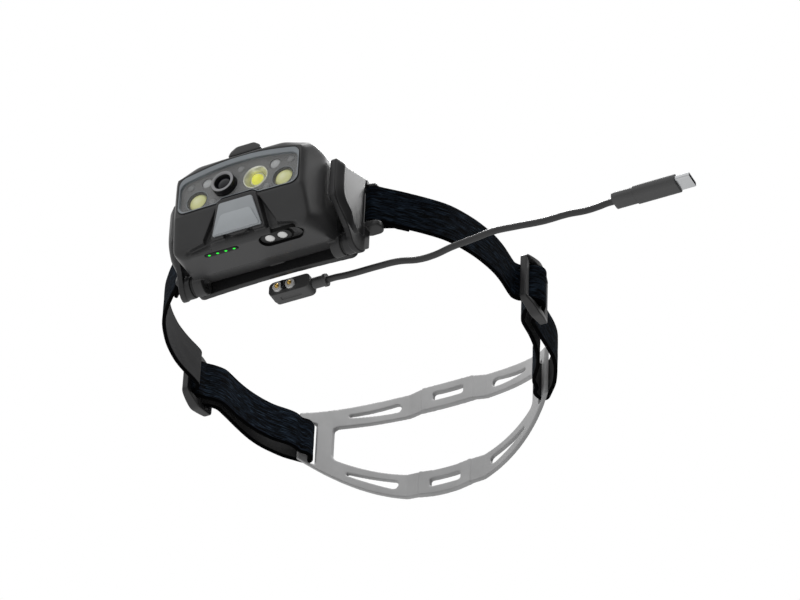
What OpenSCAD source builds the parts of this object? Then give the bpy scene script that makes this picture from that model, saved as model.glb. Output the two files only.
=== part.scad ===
// Headlamp: tilting lamp head on a bracket, elastic head strap with two slide buckles,
// soft rear band, and a magnetic charging cable laid beside it.
// Frame: X across the head, Y from the lens to the back of the head, Z up.
// Left and right are as seen by someone who faces the lamp: left is -X.
// Origin: centre of the head loop, on the surface that the lamp stands on.

/* [Head] */
// Width of the lamp head across its sides
head_w = 74; // [66:1:90]
// Depth of the lamp head from the lens frame to its back
head_d = 37; // [36:0.5:46]
// Height of the head's roof above the row of lights
roof_h = 20.8; // [20:0.1:26]
// Depth of the head's lower front edge below the row of lights
chin_drop = 27.5; // [26.5:0.5:34]
// Wall thickness of the two housing shells
wall = 2; // [1.6:0.1:2.4]
// Where the front shell meets the rear shell, measured back from the lens frame
seam_y = 26; // [24:0.5:30]

/* [Optics] */
// Half width of the front lens
lens_half_w = 30.2; // [28:0.1:32]
// Height of the lens arch above the row of lights
lens_top = 17.1; // [15:0.1:17.4]
// Thickness of the front lens
lens_t = 1.6; // [1.2:0.1:2]
// Distance of each flood light from the middle
flood_x = 21.5; // [20.5:0.1:23]
// Diameter of each flood lens
flood_d = 9.2; // [7:0.1:9.4]
// Distance of the spot and the focus lens from the middle
spot_x = 7.5; // [7:0.1:9]
// Height of the spot and the focus lens above the flood lights
spot_z = 4.3; // [4:0.1:5]
// Diameter of the spot reflector's mouth
spot_d = 12.2; // [10:0.1:12.6]
// Outer diameter of the focus ring
ring_d = 11.6; // [10:0.1:12]
// How far the focus ring stands out of the lens
ring_proud = 1.6; // [0.5:0.1:3]

/* [Power] */
// Diameter of the battery cell
cell_d = 18.4; // [14:0.1:18.4]
// Length of the battery cell
cell_l = 65; // [40:1:65]
// Pitch of the green gauge lights
gauge_pitch = 4.1; // [3.5:0.1:4.2]
// Pitch of the two charge pads
pad_pitch = 6.2; // [6:0.1:7]

/* [Button] */
// Width of the top button
button_w = 17.4; // [14:0.2:20]
// Height of the top button above its rest gap
button_h = 5; // [3:0.1:7]
// Travel of the top button
button_travel = 0.8; // [0.4:0.1:1.2]

/* [Bracket] */
// Height of the tilt axis below the row of lights
hinge_drop = 21; // [20.5:0.1:21.5]
// Diameter of the tilt pins
pin_d = 4; // [3:0.1:5]
// Outer radius of the hinge lugs
lug_r = 5.2; // [5:0.1:5.4]
// Thickness of the bracket's back plate
plate_t = 2.8; // [2:0.1:3.4]
// Thickness of the forehead pad at its middle
pad_t = 3.6; // [2.5:0.1:3.8]
// Radius of the forehead that the pad is shaped to
forehead_r = 95; // [80:1:130]

/* [Strap] */
// Width of the webbing
strap_w = 20.5; // [16:0.5:21]
// Thickness of the webbing
strap_t = 1.8; // [1.2:0.1:1.9]
// Height of the webbing's middle above the ground
strap_h = 30; // [29.6:0.1:30.4]
// Half width of the head loop at the buckles
loop_half_w = 87; // [80:1:95]
// Diameter of the bracket's strap bars
bar_d = 3.2; // [2.4:0.1:3.4]

/* [Buckle] */
// Length of each buckle along the strap
buckle_l = 23.5; // [22:0.5:28]
// Thickness of each buckle
buckle_t = 3.2; // [2.4:0.1:3.4]
// Width of the bars at the buckle's two ends
buckle_bar = 3.5; // [2.5:0.1:3.8]

/* [Rear band] */
// Radius of the rear band's middle surface
band_r = 84; // [78:1:92]
// Thickness of the rear band
band_t = 2.2; // [1.6:0.1:2.4]
// Half height of the rear band at its middle
band_half_h = 32.4; // [30:0.2:35]
// Width of each arm of the rear band
arm_w = 13.9; // [12:0.1:16]

/* [Cable] */
// Diameter of the cord
cord_d = 3; // [2.4:0.1:3.4]
// Length of the magnetic plug
plug_l = 20.6; // [19:0.2:20.8]
// Width of the magnetic plug
plug_w = 7.6; // [6.6:0.2:7.8]
// Height of the magnetic plug
plug_h = 7.6; // [6.8:0.2:8.4]
// Length of the far plug's moulded grip
grip_l = 20; // [16:0.5:26]

/* [Fits] */
// Gap between moulded pieces that sit in one another
fit = 0.15; // [0.1:0.05:0.3]
// Radial gap of the tilt pins in the lugs
pin_gap = 0.04; // [0.02:0.01:0.08]
// Gap between the lamp head and the bracket
swing_gap = 1.2; // [1:0.1:2]

/* [Hidden] */
$fn = 48;
lens_back = 129;
led_h = chin_drop;
half_w = head_w / 2;
// Housing profile, seen from the side
roof_lip = 2.8;
roof_run = 4;
foot_y = 6;
flare_y = 14;
nose_rim = 1.8;
nose_half_w = lens_half_w + nose_rim;
chin_r = 13;
brow_r = 5.5;
brow_x = 20;
brow_turn = [0, 50, -67];
brow_drop = 3.4;
seam_drop = chin_drop - 4.7;
tail_drop = chin_drop - 9.5;
belly_z = -chin_drop + 9;
// Lens stack, front to back
lens_y = 0.3;
bezel_t = 0.5;
mask_t = 1;
bezel_y = lens_y + lens_t;
ledge_y = bezel_y + bezel_t;
mask_y = ledge_y;
cavity_y = 5.2;
board_y = 11.6;
board_t = 1.4;
sink_y = board_y + board_t;
sink_t = 2.4;
sink_half_w = half_w - wall - 1.2;
ledge = 1.2;
top_ledge = 1.6;
lens_sink = 0.15;
lens_floor = 7;
notch_up = 2.5;
flood_clear = 0.2;
led_d = 5;
led_depth = 4.2;
aux_x = 17;
aux_z = 8.8;
aux_d = 5.2;
stud_d = 3.5;
stud_h = 0.25;
studs = [[25, 8.6], [13.6, -3.1], [0, 11], [-13.6, -3.1], [-25, 8.6]];
// Spine and face plate
plate_lean = 12.9;
plate_mid_y = 0.2;
plate_mid_z = -16.15;
face_half_h = 7.65;
face_top = 8.2;
face_bottom = 12.2;
face_t = 1.2;
spine_border = 1.4;
groove_w = 4.5;
groove_depth = 5.4;
// Charging contacts and gauge
charge_x = 15.1;
charge_y = 11;
recess_x0 = 7;
recess_x1 = 28;
recess_w = 8;
recess_z = -chin_drop + 2.5;
insert_l = 15;
insert_w = 6.4;
insert_h = 2.4;
pad_d = 4.6;
pad_sink = 0.5;
post_d = 2.2;
gauge_x = -11.4;
gauge_y = 9.6;
gauge_w = 2.8;
gauge_count = 4;
gauge_sink = 0.45;
pipe_d = 1.5;
gauge_slope = (chin_drop - seam_drop) / (seam_y - foot_y);
gauge_face = -chin_drop + (gauge_y - foot_y) * gauge_slope + gauge_sink;
pcb_t = 1.6;
pcb_z = -chin_drop + 13.5;
// Catch that holds the rear shell's foot
catch_x = 2;
catch_w = 7;
// Battery and its contacts
cell_y = head_d - wall - 0.5 - cell_d / 2;
cell_z = 3.4;
// Top button
button_d = 10;
button_y = 8.6;
neck_w = 11;
neck_d = 6;
switch_h = 3.2;
switch_top = roof_h - wall - button_travel - 0.6;
// Hinge and bracket
hinge_y = head_d - 4;
lug_w = 5;
cheek_t = 4.6;
washer_gap = 0.1;
back_y = head_d + 2;
cheek_x = half_w + swing_gap;
wing_y = 14.3;
wing_out = 6;
wing_t = 1.4;
wing_rim = 1.4;
wing_lug_r = lug_r + 0.5;
plate_half_w = cheek_x + wing_out - 1.2;
plate_foot = 21.4;
foot_half_w = plate_half_w - 3;
shoulder_z = -11.6;
bar_arch = 0.0009;
bar_x = half_w + 9.5;
bar_y = back_y + 1.5;
arm_t = 2.8;
upper_arm_t = 1.4;
arm_gap = 0.5;
strap_dz = strap_h - led_h;
// Webbing and buckles
webbing_gap = 0.15;
buckle_y = -6;
buckle_window = strap_w / 2 + 0.65;
buckle_belly = 2.6;
mid_bar_r = 1.8;
run_x = loop_half_w - 5.7;
return_x = loop_half_w - 9.8;
strap_joint = 0.03;
// Each shape holds shares of the way across and along, from one end of a stretch to the other
run_shape = [[0.15, 0.02], [0.33, 0.1], [0.53, 0.2], [0.74, 0.33], [0.9, 0.5], [0.99, 0.67], [1.014, 0.82]];
outer_shape = [[0.04, 0.14], [0.1, 0.36], [0.17, 0.53], [0.35, 0.7], [0.7, 0.89]];
inner_shape = [[0.96, 0.9], [0.8, 0.8], [0.52, 0.67], [0.31, 0.52], [0.17, 0.37], [0.09, 0.25], [0.03, 0.12]];
// Rear band
band_y = 1.5;
band_z = band_half_h;
band_end = 49.5;
strip_l = 5;
strap_slot = 4.2;
slot_half_h = strap_w / 2 + 1.6;
band_fall = 0.0045;
window_fall = 0.0033;
slot_fall = 0.0038;
window_half_w = 53;
pad_half_w = 14;
pad_rise = 0.7;
wedge_in = 24.5;
wedge_out = 47;
rear_slot_w = 16.4;
rear_slot_h = 4.4;
// Cable
plug_x = 3.2;
plug_y = -79.6;
base_h = 1.6;
neck_l = 7;
neck_r = 2.6;
neck_z = plug_w / 2;
key_x = charge_x - (recess_x0 + recess_x1) / 2;
key_l = 3.6;
key_h = 2.2;
ring_h = 1.2;
spring_pin_travel = 0.8;
spring_pin_d = 2;
spring_pin_gap = 0.08;
collar_l = 10;
grip_w = 9.4;
grip_h = 5.4;
grip_x = 170;
grip_y = -79;
shell_l = 6.5;
shell_w = 8.3;
shell_h = 2.5;
cord_z = cord_d / 2;
cord_start = plug_x + plug_l / 2 + neck_l;
cord_end = grip_x - collar_l;
cord_route = [
    [0, plug_y, neck_z], [4, plug_y, neck_z], [9, -80.5, 2.6], [14, -81.5, cord_z],
    [26, -81.5, cord_z], [36, -81, cord_z], [45, -78.5, cord_z], [52, -78.5, cord_z],
    [62, -80.5, cord_z], [74, -82, cord_z], [83, -83, cord_z], [94, -82, cord_z],
    [106, -80.5, cord_z], [118, -80.5, cord_z], [126, -79.5, cord_z], [132, grip_y, 2.2],
    [136, grip_y, grip_h / 2], [cord_end - cord_start, grip_y, grip_h / 2]
];

// Outline with rounded corners: each corner is [x, y, radius]
function unit(v) = v / norm(v);
function turn(a) = a > 180 ? a - 360 : a < -180 ? a + 360 : a;
function corner(a, b, c, r, n) =
    let (u = unit(a - b), w = unit(c - b), half = acos(max(-1, min(1, u * w))) / 2)
    r == 0 || half > 89.5 ? [b] :
    let (
        p = b + u * r / tan(half),
        q = b + w * r / tan(half),
        m = b + unit(u + w) * r / sin(half),
        a0 = atan2(p[1] - m[1], p[0] - m[0]),
        da = turn(atan2(q[1] - m[1], q[0] - m[0]) - a0)
    )
    [for (i = [0:n]) m + r * [cos(a0 + da * i / n), sin(a0 + da * i / n)]];
function flat(p) = [p[0], p[1]];
function rounded(p, n = 5) = [
    for (i = [0:len(p) - 1])
        each corner(flat(p[(i + len(p) - 1) % len(p)]), flat(p[i]), flat(p[(i + 1) % len(p)]), p[i][2], n)
];
function box_corners(x0, y0, x1, y1, r) = [[x0, y0, r], [x1, y0, r], [x1, y1, r], [x0, y1, r]];

// Smooth curve through points, and the strip of webbing that follows it
function blend(a, b, c, d, t) =
    0.5 * (2 * b + (c - a) * t + (2 * a - 5 * b + 4 * c - d) * t * t + (3 * b - a - 3 * c + d) * t * t * t);
function curve(p, n) = [
    for (i = [0:len(p) - 2], k = [0:n - 1])
        blend(p[max(0, i - 1)], p[i], p[i + 1], p[min(len(p) - 1, i + 2)], k / n),
    p[len(p) - 1]
];
function heading(p, i) = unit(p[min(len(p) - 1, i + 1)] - p[max(0, i - 1)]);
function beside(p, d) = [for (i = [0:len(p) - 1]) let (h = heading(p, i)) p[i] + d * [-h[1], h[0]]];
function backwards(p) = [for (i = [len(p) - 1:-1:0]) p[i]];
function webbing(p) = concat(beside(p, strap_t / 2), backwards(beside(p, -strap_t / 2)));
function between(a, b, s) = [for (f = s) [a[0] + (b[0] - a[0]) * f[0], a[1] + (b[1] - a[1]) * f[1]]];

module along_x(x0, x1) {
    translate([x0, 0, 0])
        rotate([90, 0, 90])
            linear_extrude(x1 - x0) children();
}

module along_y(y0, y1) {
    translate([0, y1, 0])
        rotate([90, 0, 0])
            linear_extrude(y1 - y0) children();
}

module along_z(z0, z1) {
    translate([0, 0, z0])
        linear_extrude(z1 - z0) children();
}

module disc_y(x, z, y0, y1, d) {
    translate([x, y1, z])
        rotate([90, 0, 0]) cylinder(h = y1 - y0, d = d);
}

module pair() {
    children();
    mirror([1, 0, 0]) children();
}

module lamp_frame() {
    translate([0, -lens_back, led_h]) children();
}

module strap_frame() {
    translate([0, 0, strap_h]) children();
}

// Lamp head
function head_front(g) = rounded([
    [half_w - g, -chin_drop - 1, chin_r - g], [half_w - g, roof_h - brow_drop - g, brow_r - g],
    [half_w / 2, roof_h - 0.6 - g, 40], [0, roof_h - g, 60], [-half_w / 2, roof_h - 0.6 - g, 40],
    [-half_w + g, roof_h - brow_drop - g, brow_r - g], [-half_w + g, -chin_drop - 1, chin_r - g]
], 10);
head_side = rounded([
    [0, roof_h - roof_lip, 1], [roof_run, roof_h + 0.5, 3], [head_d, roof_h + 0.5, 6],
    [head_d, -tail_drop, 2], [seam_y, -seam_drop, 0], [foot_y, -chin_drop, 2.5], [0.4, -8, 6]
], 8);
function head_plan(g) = rounded([
    [half_w - g, head_d - g, 3], [half_w - g, flare_y, 12], [nose_half_w - g, 0, 2.5],
    [-nose_half_w + g, 0, 2.5], [-half_w + g, flare_y, 12], [-half_w + g, head_d - g, 3]
], 10);
cavity_side = [
    [cavity_y, roof_h - wall], [head_d - wall, roof_h - wall], [head_d - wall, -tail_drop + wall],
    [seam_y, belly_z], [foot_y + 6, belly_z], [cavity_y, -9]
];

// Slope that takes off the two top corners of the front
module brow_cut(g) {
    pair() translate([brow_x, 0, roof_h - roof_lip + 0.3])
        rotate(brow_turn) translate([-30, -30, -g]) cube([60, 60, 20]);
}

module head_solid() {
    difference() {
        intersection() {
            along_y(-1, head_d + 1) polygon(head_front(0));
            along_x(-half_w, half_w) polygon(head_side);
            along_z(-chin_drop - 1, roof_h + 1) polygon(head_plan(0));
        }
        brow_cut(0);
    }
}

module head_cavity() {
    difference() {
        intersection() {
            along_x(-half_w + wall, half_w - wall) polygon(cavity_side);
            along_y(0, head_d) polygon(head_front(wall));
            along_z(-chin_drop - 1, roof_h + 1) polygon(head_plan(wall));
        }
        brow_cut(wall);
    }
}

function lens_outline(g, gt) =
    let (
        w = lens_half_w - g,
        top = lens_top - gt,
        floor_z = -lens_floor + g,
        notch_z = -lens_floor + notch_up + g,
        arch = [for (x = [20:-5:-20]) [x, top - x * x / 190, 0]]
    )
    rounded(concat(
        [[-w, floor_z, 4], [-10.6 - g, floor_z + 0.4, 1.5], [-7.6 - g, notch_z, 1.5],
        [7.6 + g, notch_z, 1.5], [10.6 + g, floor_z + 0.4, 1.5], [w, floor_z, 4], [w, top - 4.2, 4.5]],
        arch,
        [[-w, top - 4.2, 4.5]]
    ));

module spine() {
    translate([0, plate_mid_y, plate_mid_z])
        rotate([plate_lean, 0, 0])
            along_y(face_t - 0.2, 9)
                polygon(rounded([
                    [-face_bottom - spine_border, -face_half_h - 1.2, 1],
                    [face_bottom + spine_border, -face_half_h - 1.2, 1],
                    [face_top + spine_border, face_half_h + 2.4, 2.4],
                    [-face_top - spine_border, face_half_h + 2.4, 2.4]
                ]));
}

// Groove beside the spine, wider towards its foot
module side_groove() {
    translate([0, plate_mid_y, plate_mid_z])
        rotate([plate_lean, 0, 0])
            along_y(-6, groove_depth)
                polygon(rounded([
                    [face_top, face_half_h + 0.4, 0], [face_top + spine_border + 0.7, face_half_h + 0.4, 0.6],
                    [face_bottom + spine_border + groove_w, -face_half_h + 1.4, 2],
                    [face_bottom + spine_border + groove_w, -face_half_h - 1.4, 0],
                    [face_bottom, -face_half_h - 1.4, 0]
                ]));
}

module spine_recess() {
    translate([0, plate_mid_y, plate_mid_z])
        rotate([plate_lean, 0, 0])
            difference() {
                along_y(-2, 3.2)
                    polygon(rounded(box_corners(-7.2, -face_half_h - 4, 7.2, -face_half_h + 1, 0.6)));
                disc_y(0, -0.8, -3, 2.6, 17);
            }
}

module scoop() {
    along_y(-1, 7.4)
        polygon(rounded([
            [face_bottom + 2.6, -chin_drop - 1, 0], [30.2, -chin_drop - 1, 0], [26.6, -chin_drop + 3, 1.5],
            [face_bottom + 2.6, -chin_drop + 5.6, 1.5]
        ]));
}

module charge_outline(l, w) {
    translate([charge_x, charge_y])
        polygon(rounded(box_corners(-l / 2, -w / 2, l / 2, w / 2, w / 2 - 0.05), 8));
}

module gauge_outline(g) {
    l = gauge_pitch * (gauge_count - 1) + 4.4 - 2 * g;
    w = gauge_w - 2 * g;
    translate([gauge_x, gauge_y]) polygon(rounded(box_corners(-l / 2, -w / 2, l / 2, w / 2, w / 2 - 0.05)));
}

screw_sites = [[29, 15.4], [-29, 15.4], [30, -10], [-30, -10]];
screw_boss = 5;
screw_d = 2.4;

module front_housing() {
    color("#333436") lamp_frame() difference() {
        union() {
            difference() {
                intersection() {
                    head_solid();
                    along_y(-1, seam_y) square([head_w + 2, 120], center = true);
                }
                pair() side_groove();
            }
            spine();
        }
        head_cavity();
        along_y(-1, ledge_y) polygon(lens_outline(-fit, -fit));
        along_y(ledge_y - 1, cavity_y + 1) polygon(lens_outline(ledge, ledge + top_ledge));
        spine_recess();
        pair() scoop();
        along_z(-chin_drop - 1, recess_z)
            translate([(recess_x0 + recess_x1) / 2 - charge_x, 0])
                charge_outline(recess_x1 - recess_x0, recess_w);
        along_z(recess_z - 1, belly_z + 6) charge_outline(insert_l, insert_w);
        along_z(-chin_drop - 1, belly_z + 8) gauge_outline(0);
        along_z(roof_h - wall - 1, roof_h + 2)
            translate([0, button_y]) square([neck_w + 1, neck_d + 1], center = true);
    }
}

module rear_housing() {
    color("#2b2c2e") lamp_frame() difference() {
        union() {
            difference() {
                intersection() {
                    head_solid();
                    along_y(seam_y, head_d + 1) square([head_w + 2, 120], center = true);
                }
                head_cavity();
            }
            for (s = screw_sites)
                disc_y(s[0], s[1], seam_y + 1, head_d - wall + 0.1, screw_boss);
            pair() translate([half_w - lug_w, hinge_y, -hinge_drop])
                rotate([0, 90, 0]) cylinder(h = lug_w, r = lug_r);
            translate([catch_x - catch_w / 2, head_d - 3, -tail_drop - 0.9]) cube([catch_w, 2.4, 3]);
        }
        pair() translate([half_w - lug_w - 1, hinge_y, -hinge_drop])
            rotate([0, 90, 0]) cylinder(h = lug_w + 2, d = pin_d + 2 * pin_gap);
        for (s = screw_sites)
            disc_y(s[0], s[1], seam_y - 1, head_d + 1, screw_d + 0.2);
        for (s = screw_sites)
            disc_y(s[0], s[1], head_d - 1.6, head_d + 1, screw_d + 2.6);
    }
}

module housing_seal() {
    color("#141414") lamp_frame() difference() {
        intersection() {
            along_y(seam_y - 1, seam_y + 1) polygon(head_front(wall + fit));
            along_x(-half_w + wall + fit, half_w - wall - fit)
                polygon([[seam_y - 1, roof_h - wall - fit], [seam_y + 1, roof_h - wall - fit],
                    [seam_y + 1, belly_z + 1], [seam_y - 1, belly_z + 1]]);
        }
        along_y(seam_y - 2, seam_y + 2)
            polygon(rounded(box_corners(
                -half_w + wall + 1.2, belly_z + 2.2, half_w - wall - 1.2, roof_h - brow_drop - wall - 2, 2
            )));
        for (s = screw_sites)
            disc_y(s[0], s[1], seam_y - 2, seam_y + 2, screw_boss + 0.6);
    }
}

module housing_screws() {
    color("#8d9093") lamp_frame() for (s = screw_sites) {
        disc_y(s[0], s[1], seam_y + 0.6, head_d - 1.6, screw_d);
        difference() {
            disc_y(s[0], s[1], head_d - 1.6, head_d - 0.3, screw_d + 2.2);
            translate([s[0], head_d, s[1]])
                rotate([90, 0, 0]) cylinder(h = 1.2, d = 2, $fn = 6);
        }
    }
}

module front_lens() {
    color("#cfd6dc", 0.4) lamp_frame() difference() {
        along_y(lens_y + lens_sink, bezel_y) polygon(lens_outline(ledge + fit, ledge + top_ledge + fit));
        disc_y(-spot_x, spot_z, lens_y - 1, bezel_y + 1, ring_d + 2 * fit);
    }
}

module lens_bezel() {
    color("#8f979e") lamp_frame() difference() {
        along_y(lens_y, ledge_y) polygon(lens_outline(0, 0));
        along_y(lens_y - 1, ledge_y + 1) polygon(lens_outline(ledge, ledge + top_ledge));
    }
}

module optics_mask() {
    color("#77787a") lamp_frame() difference() {
        union() {
            along_y(mask_y, mask_y + mask_t) polygon(lens_outline(ledge + fit, ledge + top_ledge + fit));
            for (s = studs)
                disc_y(s[0], s[1], mask_y - stud_h, mask_y + 0.1, stud_d);
        }
        disc_y(spot_x, spot_z, mask_y - 1, mask_y + 2, spot_d + 2 * fit);
        disc_y(-spot_x, spot_z, mask_y - 1, mask_y + 2, ring_d + 2 * fit);
        pair() disc_y(flood_x, 0, mask_y - 1, mask_y + 2, flood_d + 2 * flood_clear);
        pair() disc_y(aux_x, aux_z, mask_y - 1, mask_y + 2, aux_d + 2 * fit);
    }
}

module spot_reflector() {
    r = spot_d / 2;
    tube = led_d / 2 + 0.4;
    depth = board_y - mask_y;
    color("#d8dadb") lamp_frame()
        translate([spot_x, mask_y, spot_z])
            rotate([-90, 0, 0])
                rotate_extrude()
                    polygon([
                        [r - 0.6, 0], [r, 0], [r, 1.4], [tube + 2, led_depth + 0.6],
                        [tube + 0.7, led_depth + 1.4], [tube + 0.7, depth], [tube, depth],
                        [tube, led_depth], [tube + 1.6, led_depth * 0.62],
                        [r - 1.1, led_depth * 0.26]
                    ]);
}

module spot_led() {
    rise = board_y - mask_y - led_depth;
    color("#f2ee1c") lamp_frame()
        translate([spot_x, board_y, spot_z])
            rotate([90, 0, 0]) {
                cylinder(h = rise, d = led_d);
                translate([0, 0, rise - 0.1]) intersection() {
                    sphere(d = led_d);
                    cylinder(h = led_d, d = led_d + 1);
                }
            }
}

module focus_ring() {
    depth = board_y - lens_y + ring_proud;
    r = ring_d / 2;
    color("#1c1d1f") lamp_frame()
        translate([-spot_x, lens_y - ring_proud, spot_z])
            rotate([-90, 0, 0])
                rotate_extrude()
                    polygon([
                        [r - 1.9, 0], [r - 0.5, 0], [r, 0.5], [r, depth],
                        [r - 1.2, depth], [r - 1.2, 2.4], [r - 1.9, 2.4]
                    ]);
}

module focus_lens() {
    r = ring_d / 2 - 1.2 - fit;
    depth = board_y - lens_y + ring_proud - 2.6;
    color("#23252b") lamp_frame()
        translate([-spot_x, lens_y - ring_proud + 2.6, spot_z])
            rotate([-90, 0, 0]) {
                cylinder(h = depth, r = r);
                translate([0, 0, 0.1]) intersection() {
                    translate([0, 0, 7.2]) sphere(r = 9, $fn = 64);
                    translate([0, 0, -1.8]) cylinder(h = 1.9, r = r - 0.9);
                }
            }
}

module flood_lenses() {
    color("#c9cb86") lamp_frame() pair()
        translate([flood_x, mask_y + 0.7, 0])
            rotate([-90, 0, 0])
                rotate_extrude()
                    polygon([
                        [0, 0], [flood_d / 2 - 1, 0.25], [flood_d / 2, 0.9], [flood_d / 2, 2],
                        [2.6, board_y - mask_y - 2.4], [0, board_y - mask_y - 2.4]
                    ]);
}

module flood_leds() {
    color("#e8e25a") lamp_frame() pair() disc_y(flood_x, 0, board_y - 1.5, board_y, 3.6);
}

module aux_lenses() {
    color("#d5d6d7") lamp_frame() pair() {
        disc_y(aux_x, aux_z, mask_y + 0.2, mask_y + 1.8, aux_d);
        disc_y(aux_x, aux_z, mask_y + 1.7, board_y, 2.4);
    }
}

module led_board() {
    color("#e9e9e4") lamp_frame()
        along_y(board_y, board_y + board_t)
            polygon(rounded([
                [-29, -8, 1], [29, -8, 1], [29, 11.5, 2], [7, switch_top - switch_h, 0],
                [-7, switch_top - switch_h, 0], [-29, 11.5, 2]
            ]));
}

module heat_sink() {
    color("#b9bcbf") lamp_frame()
        along_y(sink_y, sink_y + sink_t)
            polygon(rounded(box_corners(-sink_half_w, -9, sink_half_w, 11, 2)));
}

module face_plate() {
    color("#868b90") lamp_frame()
        translate([0, plate_mid_y, plate_mid_z])
            rotate([plate_lean, 0, 0]) {
                along_y(0, face_t - 0.2)
                    polygon(rounded([
                        [-face_bottom, -face_half_h, 0.4], [face_bottom, -face_half_h, 0.4],
                        [face_top, face_half_h, 1.2], [-face_top, face_half_h, 1.2]
                    ]));
                along_y(-0.35, 0.1)
                    polygon(rounded([
                        [-face_bottom + 1.2, -face_half_h + 0.5, 0.4],
                        [face_bottom - 1.2, -face_half_h + 0.5, 0.4],
                        [face_top - 1.2, 1.8, 1.4], [-face_top + 1.2, 1.8, 1.4]
                    ]));
            }
}

module battery_cell() {
    color("#4a6a8c") lamp_frame()
        translate([-cell_l / 2, cell_y, cell_z])
            rotate([0, 90, 0]) cylinder(h = cell_l, d = cell_d);
}

module battery_contacts() {
    color("#c9b36a") lamp_frame() pair()
        translate([cell_l / 2, cell_y - 5, cell_z - 6]) cube([half_w - wall - cell_l / 2 - 1.5, 10, 12]);
}

module main_board() {
    color("#2f5d3a") lamp_frame()
        translate([-nose_half_w, foot_y + 3, pcb_z])
            cube([2 * nose_half_w, seam_y - foot_y - 4.2, pcb_t]);
}

module tact_switch() {
    color("#2a2a2c") lamp_frame()
        translate([-3.2, button_y - 3, switch_top - switch_h])
            cube([6.4, board_y + board_t - button_y + 3, switch_h]);
}

module charge_insert() {
    color("#161617") lamp_frame() difference() {
        along_z(recess_z, recess_z + insert_h) charge_outline(insert_l - 2 * fit, insert_w - 2 * fit);
        for (s = [-0.5, 0.5])
            translate([charge_x + s * pad_pitch, charge_y, recess_z - 1])
                cylinder(h = insert_h + 2, d = pad_d + 2 * fit);
    }
}

module charge_pads() {
    color("#d3d4d5") lamp_frame() for (s = [-0.5, 0.5])
        translate([charge_x + s * pad_pitch, charge_y, recess_z + pad_sink]) {
            cylinder(h = insert_h - pad_sink, d = pad_d);
            cylinder(h = pcb_z - recess_z - pad_sink, d = post_d);
        }
}

module charge_magnet() {
    color("#9fa2a6") lamp_frame()
        translate([charge_x - 1.6, charge_y - 2.6, recess_z + insert_h + 0.1]) cube([3.2, 5.2, 4]);
}

module gauge_sites() {
    for (i = [0:gauge_count - 1])
        translate([gauge_x + (i - (gauge_count - 1) / 2) * gauge_pitch, gauge_y, gauge_face]) children();
}

module gauge_window() {
    color("#101112") lamp_frame() difference() {
        along_z(gauge_face, pcb_z - 2) gauge_outline(fit);
        translate([0, 0, -1]) gauge_sites() cylinder(h = pcb_z - gauge_face, d = pipe_d + 2 * fit);
    }
}

module gauge_leds() {
    color("#22e03a") lamp_frame() gauge_sites() cylinder(h = pcb_z - gauge_face, d = pipe_d);
}

module top_button() {
    base_z = roof_h + button_travel + 0.4;
    color("#2a2b2d") lamp_frame() {
        along_y(button_y - button_d / 2, button_y + button_d / 2)
            polygon(rounded([
                [-button_w / 2, base_z, 0.4], [button_w / 2, base_z, 0.4],
                [button_w / 2 - 1.2, base_z + button_h * 0.55, 1.2],
                [button_w / 2 - 4.2, base_z + button_h, 1.5],
                [-button_w / 2 + 4.2, base_z + button_h, 1.5],
                [-button_w / 2 + 1.2, base_z + button_h * 0.55, 1.2]
            ]));
        translate([-neck_w / 2, button_y - neck_d / 2, switch_top + button_travel])
            cube([neck_w, neck_d, base_z - switch_top - button_travel + 0.2]);
    }
}

// Bracket and forehead pad
wing_foot = [for (t = [-15:-15:-165]) [hinge_y + wing_lug_r * cos(t), -hinge_drop + wing_lug_r * sin(t), 0]];
wing_side = rounded(concat(
    [[wing_y, 13.4, 1.5], [back_y - 4, 16.2, 3], [back_y + plate_t, 16.2, 1],
    [back_y + plate_t, -hinge_drop + 1.5, 2]],
    wing_foot,
    [[25.3, -hinge_drop + 2.2, 2], [wing_y, -8, 4]]
));

// Each wing leans outwards to the back plate, with a raised rim along its front and lower edges
module wing() {
    difference() {
        intersection() {
            along_z(-chin_drop, 20)
                polygon(rounded([
                    [cheek_x, wing_y, 0], [cheek_x + wing_t + wing_rim, wing_y, 0.6],
                    [cheek_x + wing_out + 1, back_y - 2.4, 1],
                    [cheek_x + wing_out + 1, back_y + plate_t, 0.6],
                    [cheek_x + wing_out - 1.6, back_y + plate_t, 0],
                    [cheek_x + wing_out - 1.6, back_y - 2.4, 1]
                ]));
            along_x(cheek_x - 1, cheek_x + wing_out + 2) polygon(wing_side);
        }
        intersection() {
            along_z(-chin_drop - 1, 21)
                polygon([
                    [cheek_x + wing_t, wing_y], [cheek_x + wing_out + 0.5, back_y - 2.4],
                    [cheek_x + wing_out + 6, back_y - 2.4], [cheek_x + wing_out + 6, wing_y]
                ]);
            along_x(cheek_x - 1, cheek_x + wing_out + 8)
                polygon(rounded([
                    [wing_y + 3, 25, 0], [back_y, 25, 0], [back_y, -hinge_drop + 4.4, 0],
                    [27.2, -hinge_drop + 4.4, 1], [wing_y + 3, -7.2, 3]
                ]));
        }
    }
}

module strap_cut() {
    translate([cheek_x + wing_out - 1.9, back_y - 2.8, strap_dz - strap_w / 2 - arm_gap])
        cube([20, 12, strap_w + 2 * arm_gap]);
}

module back_plate() {
    foot = [
        for (i = [0:10])
            let (x = foot_half_w * (i / 5 - 1)) [x, -plate_foot - bar_arch * x * x, i % 10 == 0 ? 3 : 0]
    ];
    sides = [
        [foot_half_w, shoulder_z - 4, 2], [plate_half_w, shoulder_z, 2], [plate_half_w, 16.2, 4],
        [-plate_half_w, 16.2, 4], [-plate_half_w, shoulder_z, 2], [-foot_half_w, shoulder_z - 4, 2]
    ];
    along_y(back_y, back_y + plate_t) polygon(rounded(concat(foot, sides)));
}

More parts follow.
